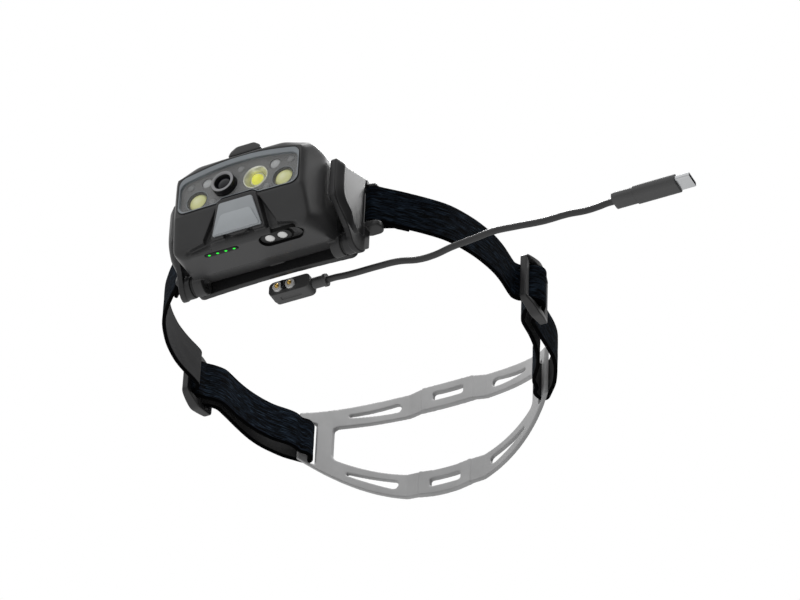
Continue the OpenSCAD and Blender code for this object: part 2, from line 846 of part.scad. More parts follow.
// Arm that holds one end of a strap bar, reaching out past the bar
module strap_arm(reach, half_d, r) {
    polygon(rounded([
        [plate_half_w - 3, bar_y - 1.5, 0], [bar_x - 1.5, bar_y - half_d - 0.6, r],
        [bar_x + reach, bar_y - half_d, r], [bar_x + reach, bar_y + half_d, r],
        [bar_x - 1.5, bar_y + half_d, r], [plate_half_w - 3, bar_y + 1.3, 0]
    ]));
}

module bracket_frame() {
    color("#2c2d2f") lamp_frame() difference() {
        union() {
            difference() {
                union() {
                    back_plate();
                    pair() wing();
                    pair() translate([cheek_x, hinge_y, -hinge_drop])
                        rotate([0, 90, 0]) cylinder(h = cheek_t, r = lug_r);
                }
                pair() strap_cut();
            }
            pair() translate([bar_x, bar_y, strap_dz - strap_w / 2 - arm_gap - 1])
                cylinder(h = strap_w + 2 * arm_gap + 2, d = bar_d);
            along_z(strap_dz - strap_w / 2 - arm_gap - arm_t, strap_dz - strap_w / 2 - arm_gap)
                pair() strap_arm(5.4, 3.6, 3);
            along_z(strap_dz + strap_w / 2 + arm_gap, strap_dz + strap_w / 2 + arm_gap + upper_arm_t)
                pair() strap_arm(2.2, 2, 1.2);
        }
        pair() translate([cheek_x - 1, hinge_y, -hinge_drop])
            rotate([0, 90, 0]) cylinder(h = cheek_t + 2, d = pin_d);
    }
}

module forehead_pad() {
    pad_y = back_y + plate_t;
    color("#1d1e20") lamp_frame() difference() {
        along_y(pad_y, pad_y + pad_t + 7) polygon(rounded(box_corners(-33, -chin_drop + 15, 33, 15, 6)));
        translate([0, pad_y + pad_t + forehead_r, -60]) cylinder(h = 120, r = forehead_r, $fn = 180);
    }
}

module tilt_pins() {
    color("#a4a7aa") lamp_frame() pair()
        translate([half_w - lug_w + 0.3, hinge_y, -hinge_drop])
            rotate([0, 90, 0]) cylinder(h = cheek_x + cheek_t - half_w + lug_w - 0.6, d = pin_d);
}

module friction_washers() {
    color("#c2c4c6") lamp_frame() pair()
        translate([half_w + washer_gap, hinge_y, -hinge_drop])
            rotate([0, 90, 0]) difference() {
                cylinder(h = swing_gap - 2 * washer_gap, r = lug_r - 0.6);
                translate([0, 0, -1]) cylinder(h = swing_gap + 2, d = pin_d + 0.1);
            }
}

// Head strap, right hand half
bar_spot = [bar_x, bar_y - lens_back];
bar_wrap = bar_d / 2 + strap_t / 2 + webbing_gap;
run_entry = [run_x, buckle_y - buckle_l / 2 + 1.2];
run_exit = [run_x, buckle_y + buckle_l / 2 + 0.8];
return_end = [return_x, run_exit[1]];
strip_spot = [band_r * sin(band_end), band_y + band_r * cos(band_end)];
strip_u = [cos(band_end), -sin(band_end)];
strip_n = [sin(band_end), cos(band_end)];
strip_off = band_t / 2 + strap_t / 2 + 0.3;
mid_wrap = mid_bar_r + strap_t / 2 + 0.3;
pass_wrap = mid_wrap + strap_t + 0.15;
mid_bar = [loop_half_w, buckle_y];

// The sewn end lies inside the run and follows it, and the webbing goes round the bar between them
run_dir = [cos(40), sin(40)];
run_side = [sin(40), -cos(40)];
run_line = curve(concat(
    [bar_spot + run_side * bar_wrap],
    between(bar_spot, run_entry, run_shape),
    [run_entry - [0, 3], run_entry + [0, 1]]
), 5);
sewn_line = curve(concat(
    backwards(beside([for (i = [8:12]) run_line[i]], strap_t + 0.35)),
    [bar_spot - run_side * bar_wrap + run_dir * 2.4]
), 3);
bar_turn = [for (a = [-10:20:170]) bar_spot + bar_wrap * [cos(140 + a), sin(140 + a)]];
run_path = concat(sewn_line, bar_turn, [for (i = [1:len(run_line) - 1]) run_line[i]]);
wrap_path = [
    run_entry - [0, 1], run_entry + [0, 1], run_entry + [1.9, 3.6], [loop_half_w, buckle_y - pass_wrap - 0.9],
    mid_bar + pass_wrap * [cos(-48), sin(-48)], mid_bar + pass_wrap * [cos(-4), sin(-4)],
    mid_bar + pass_wrap * [cos(42), sin(42)], [loop_half_w + 0.4, buckle_y + pass_wrap + 0.5],
    run_exit + [3.2, -5.4], run_exit + [0.8, -2.5], run_exit, run_exit + [0, 1]
];
return_path = concat(
    [return_end + [0, 1], return_end, return_end + [0.8, -5], mid_bar + [-mid_wrap - 2.6, 2.6]],
    [for (a = [180:40:380]) mid_bar + mid_wrap * [cos(a), sin(a)]]
);
outer_end = strip_spot + strip_off * strip_n + 3 * strip_u;
inner_end = strip_spot - (strip_off + 2.4) * strip_n;
strip_edge = strip_spot - strip_l / 2 * strip_u;
tail_path = concat(
    [run_exit - [0, 1], run_exit + [0, 1]],
    between(run_exit, outer_end, outer_shape),
    [outer_end, strip_spot + strip_off * strip_n],
    [for (a = [90:-36:-54]) strip_edge + strip_off * (sin(a) * strip_n - cos(a) * strip_u)],
    [inner_end - strip_u, inner_end + 3 * strip_u],
    between(return_end, inner_end + 3 * strip_u, inner_shape),
    [return_end + [0, 1], return_end - [0, 1]]
);

module strap_line(line) {
    strap_frame() along_z(-strap_w / 2, strap_w / 2) polygon(webbing(line));
}

module strap(path) {
    strap_line(curve(path, 4));
}

// Slab across the buckle, from one end of its webbing to the other
module buckle_zone(g) {
    translate([0, run_entry[1] - g, 0]) cube([200, run_exit[1] - run_entry[1] + 2 * g, 100]);
}

module right_strap_run() {
    color("#141a24") difference() {
        strap_line(run_path);
        buckle_zone(strap_joint);
    }
}

module left_strap_run() {
    mirror([1, 0, 0]) right_strap_run();
}

module right_strap_wrap() {
    color("#141a24") intersection() {
        union() {
            strap(wrap_path);
            strap(return_path);
        }
        buckle_zone(0);
    }
}

module left_strap_wrap() {
    mirror([1, 0, 0]) right_strap_wrap();
}

module right_strap_tail() {
    color("#141a24") difference() {
        strap(tail_path);
        buckle_zone(strap_joint);
    }
}

module left_strap_tail() {
    mirror([1, 0, 0]) right_strap_tail();
}

module right_buckle() {
    end_h = buckle_window + 1.4;
    hole_y1 = buckle_l / 2 - buckle_bar;
    color("#2e2f31") strap_frame() translate([loop_half_w, buckle_y, 0]) {
        difference() {
            along_x(-buckle_t / 2, buckle_t / 2)
                polygon(rounded([
                    [-buckle_l / 2, -end_h, 2], [0, -end_h - buckle_belly, 9], [buckle_l / 2, -end_h, 2],
                    [buckle_l / 2, end_h, 2], [0, end_h + buckle_belly, 9], [-buckle_l / 2, end_h, 2]
                ]));
            along_x(-buckle_t, buckle_t)
                polygon(rounded(box_corners(-hole_y1, -buckle_window, hole_y1, buckle_window, 0.8)));
        }
        translate([0, 0, -buckle_window - 0.5])
            cylinder(h = 2 * buckle_window + 1, r = min(mid_bar_r, buckle_t / 2 + 0.2));
    }
}

module left_buckle() {
    mirror([1, 0, 0]) right_buckle();
}

// Rear band
function band_edge(x, h, fall) = h - fall * x * x;

module band_half(h, w, fall, r) {
    edge = [for (i = [-10:10]) let (x = -w * i / 10) [x, band_edge(x, h, fall), abs(i) == 10 ? r : 0]];
    polygon(rounded(concat([[-w, -1, 0], [w, -1, 0]], edge)));
}

module arm_slots() {
    mid = band_half_h - arm_w / 2;
    translate([-rear_slot_w / 2, mid - rear_slot_h / 2])
        polygon(rounded(box_corners(0, 0, rear_slot_w, rear_slot_h, 1)));
    near_z = band_edge(wedge_in, mid, slot_fall);
    far_z = band_edge(wedge_out, mid, slot_fall);
    for (s = [-1, 1])
        mirror([s < 0 ? 1 : 0, 0]) polygon(rounded([
            [wedge_in, near_z - 2.5, 2], [wedge_out, far_z - 0.7, 0.6],
            [wedge_out, far_z + 0.7, 0.6], [wedge_in, near_z + 2.5, 2]
        ]));
}

module band_shape() {
    for (m = [0, 1])
        mirror([0, m]) difference() {
            band_half(band_half_h, band_r * sin(band_end) + 6, band_fall, 0);
            band_half(band_half_h - arm_w, window_half_w, window_fall, 3.5);
            arm_slots();
        }
}

module band_turn(a) {
    translate([0, band_y, 0]) rotate([0, 0, -a]) translate([0, band_r, 0]) children();
}

module rear_band() {
    color("#9c9d9e") translate([0, 0, band_z]) difference() {
        intersection() {
            translate([0, band_y, -40]) difference() {
                union() {
                    difference() {
                        cylinder(h = 80, r = band_r + band_t / 2, $fn = 180);
                        translate([0, 0, -1]) cylinder(h = 82, r = band_r - band_t / 2, $fn = 180);
                    }
                    intersection() {
                        difference() {
                            cylinder(h = 80, r = band_r, $fn = 180);
                            translate([0, 0, -1])
                                cylinder(h = 82, r = band_r - band_t / 2 - pad_rise, $fn = 180);
                        }
                        translate([-pad_half_w, 0, 0]) cube([2 * pad_half_w, band_r + 5, 80]);
                    }
                }
            }
            along_y(0, band_y + band_r + 5) band_shape();
        }
        for (s = [-1, 1]) {
            band_turn(s * band_end)
                translate([-s * (strip_l + strap_slot) / 2, 0, strap_h - band_z])
                    cube([strap_slot, 12, 2 * slot_half_h], center = true);
            band_turn(s * band_end)
                translate([s * (strip_l / 2 + 10), 0, 0]) cube([20, 24, 60], center = true);
        }
    }
}

// Charging cable
// The plug's own height runs forwards, because it lies on its side with the contacts to the front
module plug_frame() {
    translate([plug_x, plug_y + plug_h / 2, plug_w / 2]) rotate([90, 0, 0]) children();
}

module plug_outline(g) {
    l = plug_l / 2 - g;
    w = plug_w / 2 - g;
    polygon(rounded(box_corners(-l, -w, l, w, 2.5 - g)));
}

module pin_site(side) {
    translate([key_x + side * pad_pitch / 2, 0, plug_h]) children();
}

module pin_sites() {
    for (side = [-1, 1])
        pin_site(side) children();
}

module plug_body() {
    color("#3a3b3d") plug_frame() difference() {
        along_z(base_h, plug_h) plug_outline(0);
        translate([0, 0, -2.2]) pin_sites() cylinder(h = 5, d = spring_pin_d + 2 * spring_pin_gap);
        translate([-5.5, -plug_w / 2 - 1, base_h + 1.4]) cube([10, 1.4, 2]);
    }
}

module plug_base() {
    color("#333436") plug_frame() along_z(0, base_h) plug_outline(0.35);
}

module plug_magnets() {
    color("#e4e5e6") plug_frame() pin_sites() difference() {
        cylinder(h = ring_h, d = 4.6);
        translate([0, 0, -1]) cylinder(h = ring_h + 2, d = spring_pin_d + 2 * spring_pin_gap);
    }
}

module plug_key() {
    color("#232425") plug_frame() translate([key_x - 0.7, -key_l / 2, plug_h]) cube([1.4, key_l, key_h]);
}

module spring_pin(side) {
    color("#c9962b") plug_frame() pin_site(side) {
        translate([0, 0, spring_pin_travel - 2.2]) cylinder(h = ring_h + 2.2, d = spring_pin_d);
        translate([0, 0, spring_pin_travel + ring_h - 0.1]) cylinder(h = 0.7, d = 1.4);
    }
}

module left_spring_pin() {
    spring_pin(-1);
}

module right_spring_pin() {
    spring_pin(1);
}

module plug_neck() {
    color("#3a3b3d") translate([plug_x + plug_l / 2, plug_y, neck_z])
        rotate([0, 90, 0]) {
            cylinder(h = neck_l - 1.6, r = neck_r);
            translate([0, 0, neck_l - 1.7]) cylinder(h = 1.7, r = neck_r + 0.4);
        }
}

// Cord: one tube swept along the route, with a ring of points at each step
cord_sides = 8;
cord_line = [for (p = curve(cord_route, 3)) p + [cord_start, 0, 0]];
function cord_ring(i) =
    let (h = heading(cord_line, i), s = unit(cross([0, 0, 1], h)), t = cross(h, s))
    [for (k = [0:cord_sides - 1])
        let (a = 360 * (k + 0.5) / cord_sides)
        cord_line[i] + cord_d / 2 * (cos(a) * s + sin(a) * t)];
cord_points = [for (i = [0:len(cord_line) - 1]) each cord_ring(i)];
cord_faces = concat(
    [[for (k = [cord_sides - 1:-1:0]) k]],
    [for (i = [0:len(cord_line) - 2], k = [0:cord_sides - 1])
        let (a = i * cord_sides, m = (k + 1) % cord_sides)
        each [[a + k, a + m, a + cord_sides + k], [a + m, a + cord_sides + m, a + cord_sides + k]]],
    [[for (k = [0:cord_sides - 1]) (len(cord_line) - 1) * cord_sides + k]]
);

module cord() {
    color("#3c3d3f") polyhedron(points = cord_points, faces = cord_faces);
}

module grip_outline(w, h) {
    translate([grip_y - w / 2, (grip_h - h) / 2]) polygon(rounded(box_corners(0, 0, w, h, h / 2 - 0.4)));
}

module power_plug_collar() {
    color("#37383a") along_x(cord_end, grip_x) grip_outline(grip_w - 1, grip_h - 0.6);
}

module power_plug_body() {
    color("#37383a") difference() {
        along_x(grip_x, grip_x + grip_l) grip_outline(grip_w, grip_h);
        along_x(grip_x + grip_l - 3, grip_x + grip_l + 1) grip_outline(shell_w, shell_h);
    }
}

module power_plug_shell() {
    color("#d9dadb") difference() {
        along_x(grip_x + grip_l - 3, grip_x + grip_l + shell_l) grip_outline(shell_w, shell_h);
        along_x(grip_x + grip_l - 1, grip_x + grip_l + shell_l + 1)
            grip_outline(shell_w - 0.8, shell_h - 0.8);
    }
}

front_housing();
rear_housing();
housing_seal();
housing_screws();
front_lens();
lens_bezel();
optics_mask();
spot_reflector();
spot_led();
focus_lens();
focus_ring();
flood_lenses();
flood_leds();
aux_lenses();
led_board();
heat_sink();
face_plate();
battery_cell();
battery_contacts();
main_board();
tact_switch();
charge_insert();
charge_pads();
charge_magnet();
gauge_window();
gauge_leds();
top_button();
bracket_frame();
forehead_pad();
tilt_pins();
friction_washers();
left_strap_run();
right_strap_run();
left_strap_wrap();
right_strap_wrap();
left_strap_tail();
right_strap_tail();
left_buckle();
right_buckle();
rear_band();
plug_body();
plug_base();
plug_magnets();
plug_key();
plug_neck();
left_spring_pin();
right_spring_pin();
cord();
power_plug_collar();
power_plug_body();
power_plug_shell();
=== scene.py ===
import math

import bmesh
import bpy
from mathutils import Matrix, Vector, noise


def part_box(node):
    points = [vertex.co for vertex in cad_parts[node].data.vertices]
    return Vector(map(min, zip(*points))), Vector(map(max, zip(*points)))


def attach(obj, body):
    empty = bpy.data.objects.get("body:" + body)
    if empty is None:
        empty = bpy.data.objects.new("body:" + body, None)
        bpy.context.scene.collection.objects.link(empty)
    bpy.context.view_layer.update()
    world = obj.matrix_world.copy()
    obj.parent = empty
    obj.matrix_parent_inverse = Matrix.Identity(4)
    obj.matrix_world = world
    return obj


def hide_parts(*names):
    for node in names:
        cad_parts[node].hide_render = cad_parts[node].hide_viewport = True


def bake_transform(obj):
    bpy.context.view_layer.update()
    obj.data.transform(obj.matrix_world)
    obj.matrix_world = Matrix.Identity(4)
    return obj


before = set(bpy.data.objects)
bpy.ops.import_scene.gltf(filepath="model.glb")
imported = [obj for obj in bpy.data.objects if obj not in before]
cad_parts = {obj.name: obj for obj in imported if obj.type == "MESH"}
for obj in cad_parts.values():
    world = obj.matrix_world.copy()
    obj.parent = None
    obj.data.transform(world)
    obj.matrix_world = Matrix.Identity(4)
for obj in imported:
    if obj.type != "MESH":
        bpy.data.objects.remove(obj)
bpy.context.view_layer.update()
mm = 0.001
sideSigns = {"left": -1, "right": 1}
lampShift = Vector((0, -129, 27.5))  # the lamp head's own origin, in millimetres
scene = bpy.context.scene
print("frame loaded:", len(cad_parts), "nodes")

# Camera, set to the photograph's viewpoint
cameraLook = {
    "azimuth": 27.97,
    "elevation": -38.01,
    "roll": 2.5,
    "focalPixels": 4200,
    "imageWidth": 800,
    "sensor": 36.0,
    "distance": 1.947,
    "aim": (0, 0, 0.030),
    "slide": (-0.0143, -0.0203),
    "clip": (0.05, 50),
}


def makeCamera(look):
    turn, rise, roll = (math.radians(look[key]) for key in ("azimuth", "elevation", "roll"))
    side = Vector((math.cos(turn), math.sin(turn), 0))
    back = Vector((math.sin(turn) * math.cos(rise), -math.cos(turn) * math.cos(rise), math.sin(rise)))
    top = back.cross(side)
    rolledSide = math.cos(roll) * side + math.sin(roll) * top
    rolledTop = math.cos(roll) * top - math.sin(roll) * side
    spot = Vector(look["aim"]) + back * look["distance"]
    spot -= rolledSide * look["slide"][0] + rolledTop * look["slide"][1]
    data = bpy.data.cameras.new("photoCamera")
    data.sensor_fit = "HORIZONTAL"
    data.sensor_width = look["sensor"]
    data.lens = look["focalPixels"] / look["imageWidth"] * look["sensor"]
    data.clip_start, data.clip_end = look["clip"]
    camera = bpy.data.objects.new("photoCamera", data)
    scene.collection.objects.link(camera)
    axes = Matrix((rolledSide, rolledTop, back)).transposed()
    camera.matrix_world = Matrix.Translation(spot) @ axes.to_4x4()
    scene.camera = camera


makeCamera(cameraLook)


# Small helpers for meshes
def addObject(name, data):
    piece = bpy.data.objects.new(name, data)
    scene.collection.objects.link(piece)
    return piece


def shadeSmooth(mesh):
    mesh.polygons.foreach_set("use_smooth", [True] * len(mesh.polygons))
    mesh.update()


def bake(piece):
    graph = bpy.context.evaluated_depsgraph_get()
    result = bpy.data.meshes.new_from_object(piece.evaluated_get(graph))
    result.name = piece.name
    piece.modifiers.clear()
    piece.data = result
    return piece


def cadCopy(nodeName, name):
    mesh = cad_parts[nodeName].data.copy()
    mesh.materials.clear()
    work = bmesh.new()
    work.from_mesh(mesh)
    bmesh.ops.remove_doubles(work, verts=work.verts, dist=0.002 * mm)
    work.to_mesh(mesh)
    work.free()
    return addObject(name, mesh)


polishLook = {"steps": 4, "rounds": 240}


def softCopy(nodeName, name, voxel, rounds, keep, polish=None):
    piece = cadCopy(nodeName, name)
    remesh = piece.modifiers.new("remesh", "REMESH")
    remesh.mode = "VOXEL"
    remesh.voxel_size = voxel * mm
    soften = piece.modifiers.new("soften", "SMOOTH")
    soften.factor = 0.5
    soften.iterations = rounds
    bake(piece)
    if polish:
        # extra rounding where the polish function says so, in a few steps, before the mesh is thinned
        chosen = piece.vertex_groups.new(name="polish")
        steps = polishLook["steps"]
        levels = [[] for step in range(steps + 1)]
        for vert in piece.data.vertices:
            levels[round(steps * polish(vert.co / mm))].append(vert.index)
        for step, found in enumerate(levels[1:], 1):
            chosen.add(found, step / steps, "REPLACE")
        shine = piece.modifiers.new("polish", "SMOOTH")
        shine.factor = 0.5
        shine.iterations = polishLook["rounds"]
        shine.vertex_group = "polish"
        bake(piece)
        piece.vertex_groups.clear()
    thin = piece.modifiers.new("thin", "DECIMATE")
    thin.ratio = keep
    bake(piece)
    shadeSmooth(piece.data)
    return piece


def skinRings(name, work, rings, joined=False, caps=False, sharp=35):
    # faces between neighbouring rings of vertices: a ring of one vertex is a tip, joined closes last to first
    size = max(len(ring) for ring in rings)
    for first, second in zip(rings, rings[1:] + (rings[:1] if joined else [])):
        for step in range(size):
            corners = []
            for ring, place in ((first, step), (first, step + 1), (second, step + 1), (second, step)):
                vert = ring[place % len(ring)]
                if vert not in corners:
                    corners.append(vert)
            if len(corners) > 2:
                work.faces.new(corners)
    for ring in (rings[0], rings[-1]) if caps else ():
        if len(ring) > 2:
            work.faces.new(ring)
    bmesh.ops.recalc_face_normals(work, faces=work.faces)
    mesh = bpy.data.meshes.new(name)
    work.to_mesh(mesh)
    work.free()
    shadeSmooth(mesh)
    if sharp:
        mesh.set_sharp_from_angle(angle=math.radians(sharp))
    return mesh


def loft(name, loops, **settings):
    # a piece through outlines of the same count, in millimetres
    work = bmesh.new()
    rings = [[work.verts.new(Vector(point) * mm) for point in loop] for loop in loops]
    return addObject(name, skinRings(name, work, rings, **settings))


def latheMesh(name, profile, centre, loop=False, sides=64, upright=False):
    # profile points are (radius, depth) in millimetres, turned about an axis along +Y, or +Z, through centre
    work = bmesh.new()
    rim = work.verts.layers.float.new("rim")
    widest = max(radius for radius, depth in profile)
    rings = []
    for radius, depth in profile:
        ring = []
        for step in range(sides if radius > 1e-6 else 1):
            angle = 2 * math.pi * step / sides
            around = Vector((radius * math.cos(angle), depth, radius * math.sin(angle)))
            if upright:
                around.y, around.z = around.z, around.y
            vert = work.verts.new(Vector(centre) * mm + around * mm)
            vert[rim] = radius / widest
            ring.append(vert)
        rings.append(ring)
    return skinRings(name, work, rings, joined=loop, sharp=38)


def relaxLine(line, rounds):
    # evens out a line between its two ends
    for again in range(rounds):
        line[1:-1] = [(a + 2 * b + c) / 4 for a, b, c in zip(line, line[1:], line[2:])]


def finishPiece(piece, material, body, slot, *nodes):
    piece.data.materials.clear()
    piece.data.materials.append(material)
    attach(piece, body)
    if nodes:
        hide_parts(*nodes)
    return piece


# Small helpers for node trees: an input is given a value or another node's output
def setInputs(tree, node, inputs):
    for key, value in inputs.items():
        if isinstance(value, bpy.types.NodeSocket):
            tree.links.new(value, node.inputs[key])
        else:
            node.inputs[key].default_value = value


def addNode(tree, kind, inputs=None, **settings):
    node = tree.nodes.new(kind)
    for key, value in settings.items():
        setattr(node, key, value)
    setInputs(tree, node, inputs or {})
    return node


# Node trees for what follows a line
def startTree(name, sockets):
    tree = bpy.data.node_groups.new(name, "GeometryNodeTree")
    for label, kind in [("Line", "Geometry")] + sockets:
        tree.interface.new_socket(label, in_out="INPUT", socket_type="NodeSocket" + kind)
    tree.interface.new_socket("Result", in_out="OUTPUT", socket_type="NodeSocketGeometry")
    return tree, tree.nodes.new("NodeGroupInput"), tree.nodes.new("NodeGroupOutput")


def runTree(piece, tree, values):
    modifier = piece.modifiers.new(tree.name, "NODES")
    modifier.node_group = tree
    for item in tree.interface.items_tree:
        if item.in_out == "INPUT" and item.name in values:
            modifier[item.identifier] = values[item.name]
    return bake(piece)


def lineObject(name, lines, closed=False):
    verts, edges = [], []
    for line in lines:
        first = len(verts)
        verts += [Vector(point) * mm for point in line]
        edges += [(first + i, first + i + 1) for i in range(len(line) - 1)]
        if closed:
            edges.append((len(verts) - 1, first))
    mesh = bpy.data.meshes.new(name)
    mesh.from_pydata(verts, edges, [])
    return addObject(name, mesh)


def finishTree(tree, result, start, end):
    smooth = addNode(tree, "GeometryNodeSetShadeSmooth", {"Geometry": result})
    real = addNode(tree, "GeometryNodeRealizeInstances", {0: smooth.outputs[0]})
    paint = addNode(tree, "GeometryNodeSetMaterial", {
        "Geometry": real.outputs[0], "Material": start.outputs["Material"]})
    setInputs(tree, end, {0: paint.outputs[0]})


def makeBeadTree():
    # a round bead swept along the line
    tree, start, end = startTree("beadAlong", [
        ("Radius", "Float"), ("Sides", "Int"), ("Material", "Material")])
    curve = addNode(tree, "GeometryNodeMeshToCurve", {"Mesh": start.outputs["Line"]})
    ring = addNode(tree, "GeometryNodeCurvePrimitiveCircle", {
        "Radius": start.outputs["Radius"], "Resolution": start.outputs["Sides"]})
    sweep = addNode(tree, "GeometryNodeCurveToMesh", {
        "Curve": curve.outputs[0], "Profile Curve": ring.outputs[0], "Fill Caps": True})
    finishTree(tree, sweep.outputs[0], start, end)
    return tree


def makeStitchTree():
    # one short thread at each step of the line
    tree, start, end = startTree("stitchesAlong", [
        ("Spacing", "Float"), ("Thread", "Vector"), ("Material", "Material")])
    curve = addNode(tree, "GeometryNodeMeshToCurve", {"Mesh": start.outputs["Line"]})
    steps = addNode(tree, "GeometryNodeCurveToPoints", {
        "Curve": curve.outputs[0], "Length": start.outputs["Spacing"]}, mode="LENGTH")
    thread = addNode(tree, "GeometryNodeMeshUVSphere", {"Segments": 8, "Rings": 6, "Radius": 1})
    place = addNode(tree, "GeometryNodeInstanceOnPoints", {
        "Points": steps.outputs["Points"], "Instance": thread.outputs["Mesh"],
        "Rotation": steps.outputs["Rotation"], "Scale": start.outputs["Thread"]})
    finishTree(tree, place.outputs[0], start, end)
    return tree


beadTree = makeBeadTree()
stitchTree = makeStitchTree()


# Small helpers for materials
def startMaterial(name):
    material = bpy.data.materials.new(name)
    material.use_nodes = True
    tree = material.node_tree
    return material, tree, tree.nodes["Principled BSDF"]


def objectNoise(tree, scale, detail):
    place = addNode(tree, "ShaderNodeTexCoord")
    texture = addNode(tree, "ShaderNodeTexNoise", {
        "Vector": place.outputs["Object"], "Scale": scale, "Detail": detail})
    return texture.outputs["Fac"]


def spread(tree, value, low, high, fromLow=0.3, fromHigh=0.7):
    node = addNode(tree, "ShaderNodeMapRange", {0: value, 1: fromLow, 2: fromHigh, 3: low, 4: high})
    return node.outputs[0]


def calculate(tree, operation, *values):
    return addNode(tree, "ShaderNodeMath", dict(enumerate(values)), operation=operation).outputs[0]


def mixColours(tree, factor, first, second):
    first, second = ((*value, 1) if isinstance(value, tuple) else value for value in (first, second))
    return addNode(tree, "ShaderNodeMix", {0: factor, 6: first, 7: second}, data_type="RGBA").outputs[2]


def addBump(tree, shader, height, strength, depth):
    bump = addNode(tree, "ShaderNodeBump", {"Height": height, "Strength": strength, "Distance": depth * mm})
    setInputs(tree, shader, {"Normal": bump.outputs["Normal"]})


def tint(colour, share):
    return tuple(channel * share for channel in colour)


# Every moulded, painted or plated finish: a base tone, cloudy variation, fine grain and paler worn edges
plainLook = {
    "cloud": 70,
    "cloudShare": 0.08,
    "grain": 5200,
    "grainDepth": 0.05,
    "bump": 0.15,
    "metal": 0,
    "shine": 0.5,
    "coat": 0,
    "coatRough": 0.1,
    "sheen": 0,
    "sheenRough": 0.5,
    "wear": 0,
    "wearTone": 2.2,
    "wearSpan": (0.53, 0.62),
    "glow": 0,
}


def texturedFinish(name, changes):
    look = {**plainLook, **changes}
    material, tree, shader = startMaterial(name)
    colour, rough = look["colour"], look["rough"]
    less, more = 1 - look["cloudShare"], 1 + look["cloudShare"]
    cloud = objectNoise(tree, look["cloud"], 3)
    grain = objectNoise(tree, look["grain"], 2)
    tone = mixColours(tree, spread(tree, cloud, 0, 1), tint(colour, less), tint(colour, more))
    if look["wear"]:
        geometry = addNode(tree, "ShaderNodeNewGeometry")
        worn = spread(tree, geometry.outputs["Pointiness"], 0, look["wear"], *look["wearSpan"])
        tone = mixColours(tree, worn, tone, tint(colour, look["wearTone"]))
    setInputs(tree, shader, {
        "Base Color": tone,
        "Roughness": spread(tree, cloud, rough * less, min(1, rough * more)),
        "Metallic": look["metal"],
        "Specular IOR Level": look["shine"],
        "Coat Weight": look["coat"],
        "Coat Roughness": look["coatRough"],
        "Sheen Weight": look["sheen"],
        "Sheen Roughness": look["sheenRough"],
    })
    if look["glow"]:
        glowColour = look.get("glowColour", colour)
        setInputs(tree, shader, {"Emission Color": (*glowColour, 1), "Emission Strength": look["glow"]})
    addBump(tree, shader, grain, look["bump"], look["grainDepth"])
    return material


finishes = {
    "housingPlastic": {"colour": (0.040, 0.040, 0.041), "rough": 0.36, "wear": 0.25, "bump": 0.2,
                       "shine": 0.4},
    "bracketPlastic": {"colour": (0.024, 0.024, 0.025), "rough": 0.32, "wear": 0.25, "bump": 0.2,
                       "shine": 0.4},
    "trimBlack": {"colour": (0.010, 0.010, 0.0105), "rough": 0.42, "bump": 0.12, "shine": 0.35},
    "bezelGrey": {"colour": (0.275, 0.303, 0.326), "rough": 0.4, "bump": 0.06},
    "maskGrey": {"colour": (0.228, 0.226, 0.223), "rough": 0.5, "grain": 9000, "bump": 0.04, "shine": 0.3},
    "steelBright": {"colour": (0.60, 0.61, 0.62), "rough": 0.28, "metal": 1, "bump": 0.08},
    "padSilver": {"colour": (0.78, 0.78, 0.77), "rough": 0.3, "metal": 0.6, "bump": 0.05},
    "goldPlating": {"colour": (0.80, 0.52, 0.13), "rough": 0.25, "metal": 1, "bump": 0.05},
    "plateAluminium": {"colour": (0.400, 0.425, 0.445), "rough": 0.46, "metal": 0.2, "bump": 0.1,
                       "grain": 7000},
    "panelAluminium": {"colour": (0.475, 0.505, 0.528), "rough": 0.5, "metal": 0.2, "bump": 0.16,
                       "grain": 6000},
    # near black: partly the tray's own colour, partly painted shade of the chin's recess
    "trayBlackAndShade": {"colour": (0.0035, 0.0035, 0.0035), "rough": 0.6, "bump": 0.2, "shine": 0.15},
    # near white and barely metallic: a painted highlight standing in for the bright reflections on the plated
    # magnets
    "magnetPaintedHighlight": {"colour": (0.88, 0.88, 0.87), "rough": 0.34, "metal": 0.1, "bump": 0.05},
    "sinkAluminium": {"colour": (0.55, 0.56, 0.57), "rough": 0.4, "metal": 1, "bump": 0.1},
    # painted glow: the LEDs are not switched on, the emission only brightens the yellow phosphor
    "phosphorYellow": {"colour": (0.86, 0.80, 0.02), "rough": 0.4, "glow": 0.35, "coat": 0.6, "bump": 0.04},
    "ringGrey": {"colour": (0.300, 0.300, 0.310), "rough": 0.36, "metal": 0.2, "bump": 0.05},
    "socketBlack": {"colour": (0.020, 0.020, 0.020), "rough": 0.4, "bump": 0.05},
    "boardWhite": {"colour": (0.80, 0.80, 0.77), "rough": 0.4, "bump": 0.08},
    "boardGreen": {"colour": (0.03, 0.14, 0.05), "rough": 0.35, "bump": 0.1, "coat": 0.3},
    "cellSleeve": {"colour": (0.06, 0.12, 0.24), "rough": 0.28, "bump": 0.05, "coat": 0.5},
    "sealRubber": {"colour": (0.008, 0.008, 0.008), "rough": 0.7, "bump": 0.2},
    "gaugeBlack": {"colour": (0.003, 0.003, 0.0035), "rough": 0.35, "bump": 0.03, "shine": 0.12},
    "gaugeGreen": {"colour": (0.01, 0.62, 0.03), "rough": 0.4, "glow": 0.9, "glowColour": (0.01, 0.80, 0.03),
                   "bump": 0.03},
    "siliconeGrey": {"colour": (0.390, 0.390, 0.392), "rough": 0.48, "bump": 0.05, "grain": 1800,
                     "sheen": 0.12, "shine": 0.4, "wear": 0.3, "wearTone": 1.2},
    "cableRubber": {"colour": (0.034, 0.034, 0.035), "rough": 0.45, "bump": 0.15, "grain": 4200},
    "plugRubber": {"colour": (0.067, 0.067, 0.068), "rough": 0.48, "bump": 0.18},
    "thread": {"colour": (0.034, 0.036, 0.042), "rough": 0.6, "grain": 9000},
}
materials = {name: texturedFinish(name, look) for name, look in finishes.items()}
print("plain finishes:", len(materials))


# Clear and tinted optics, with a faint haze
hazeLook = {"scale": 900, "tone": 0.97, "rough": (0.7, 1.3), "coatRough": 0.03}


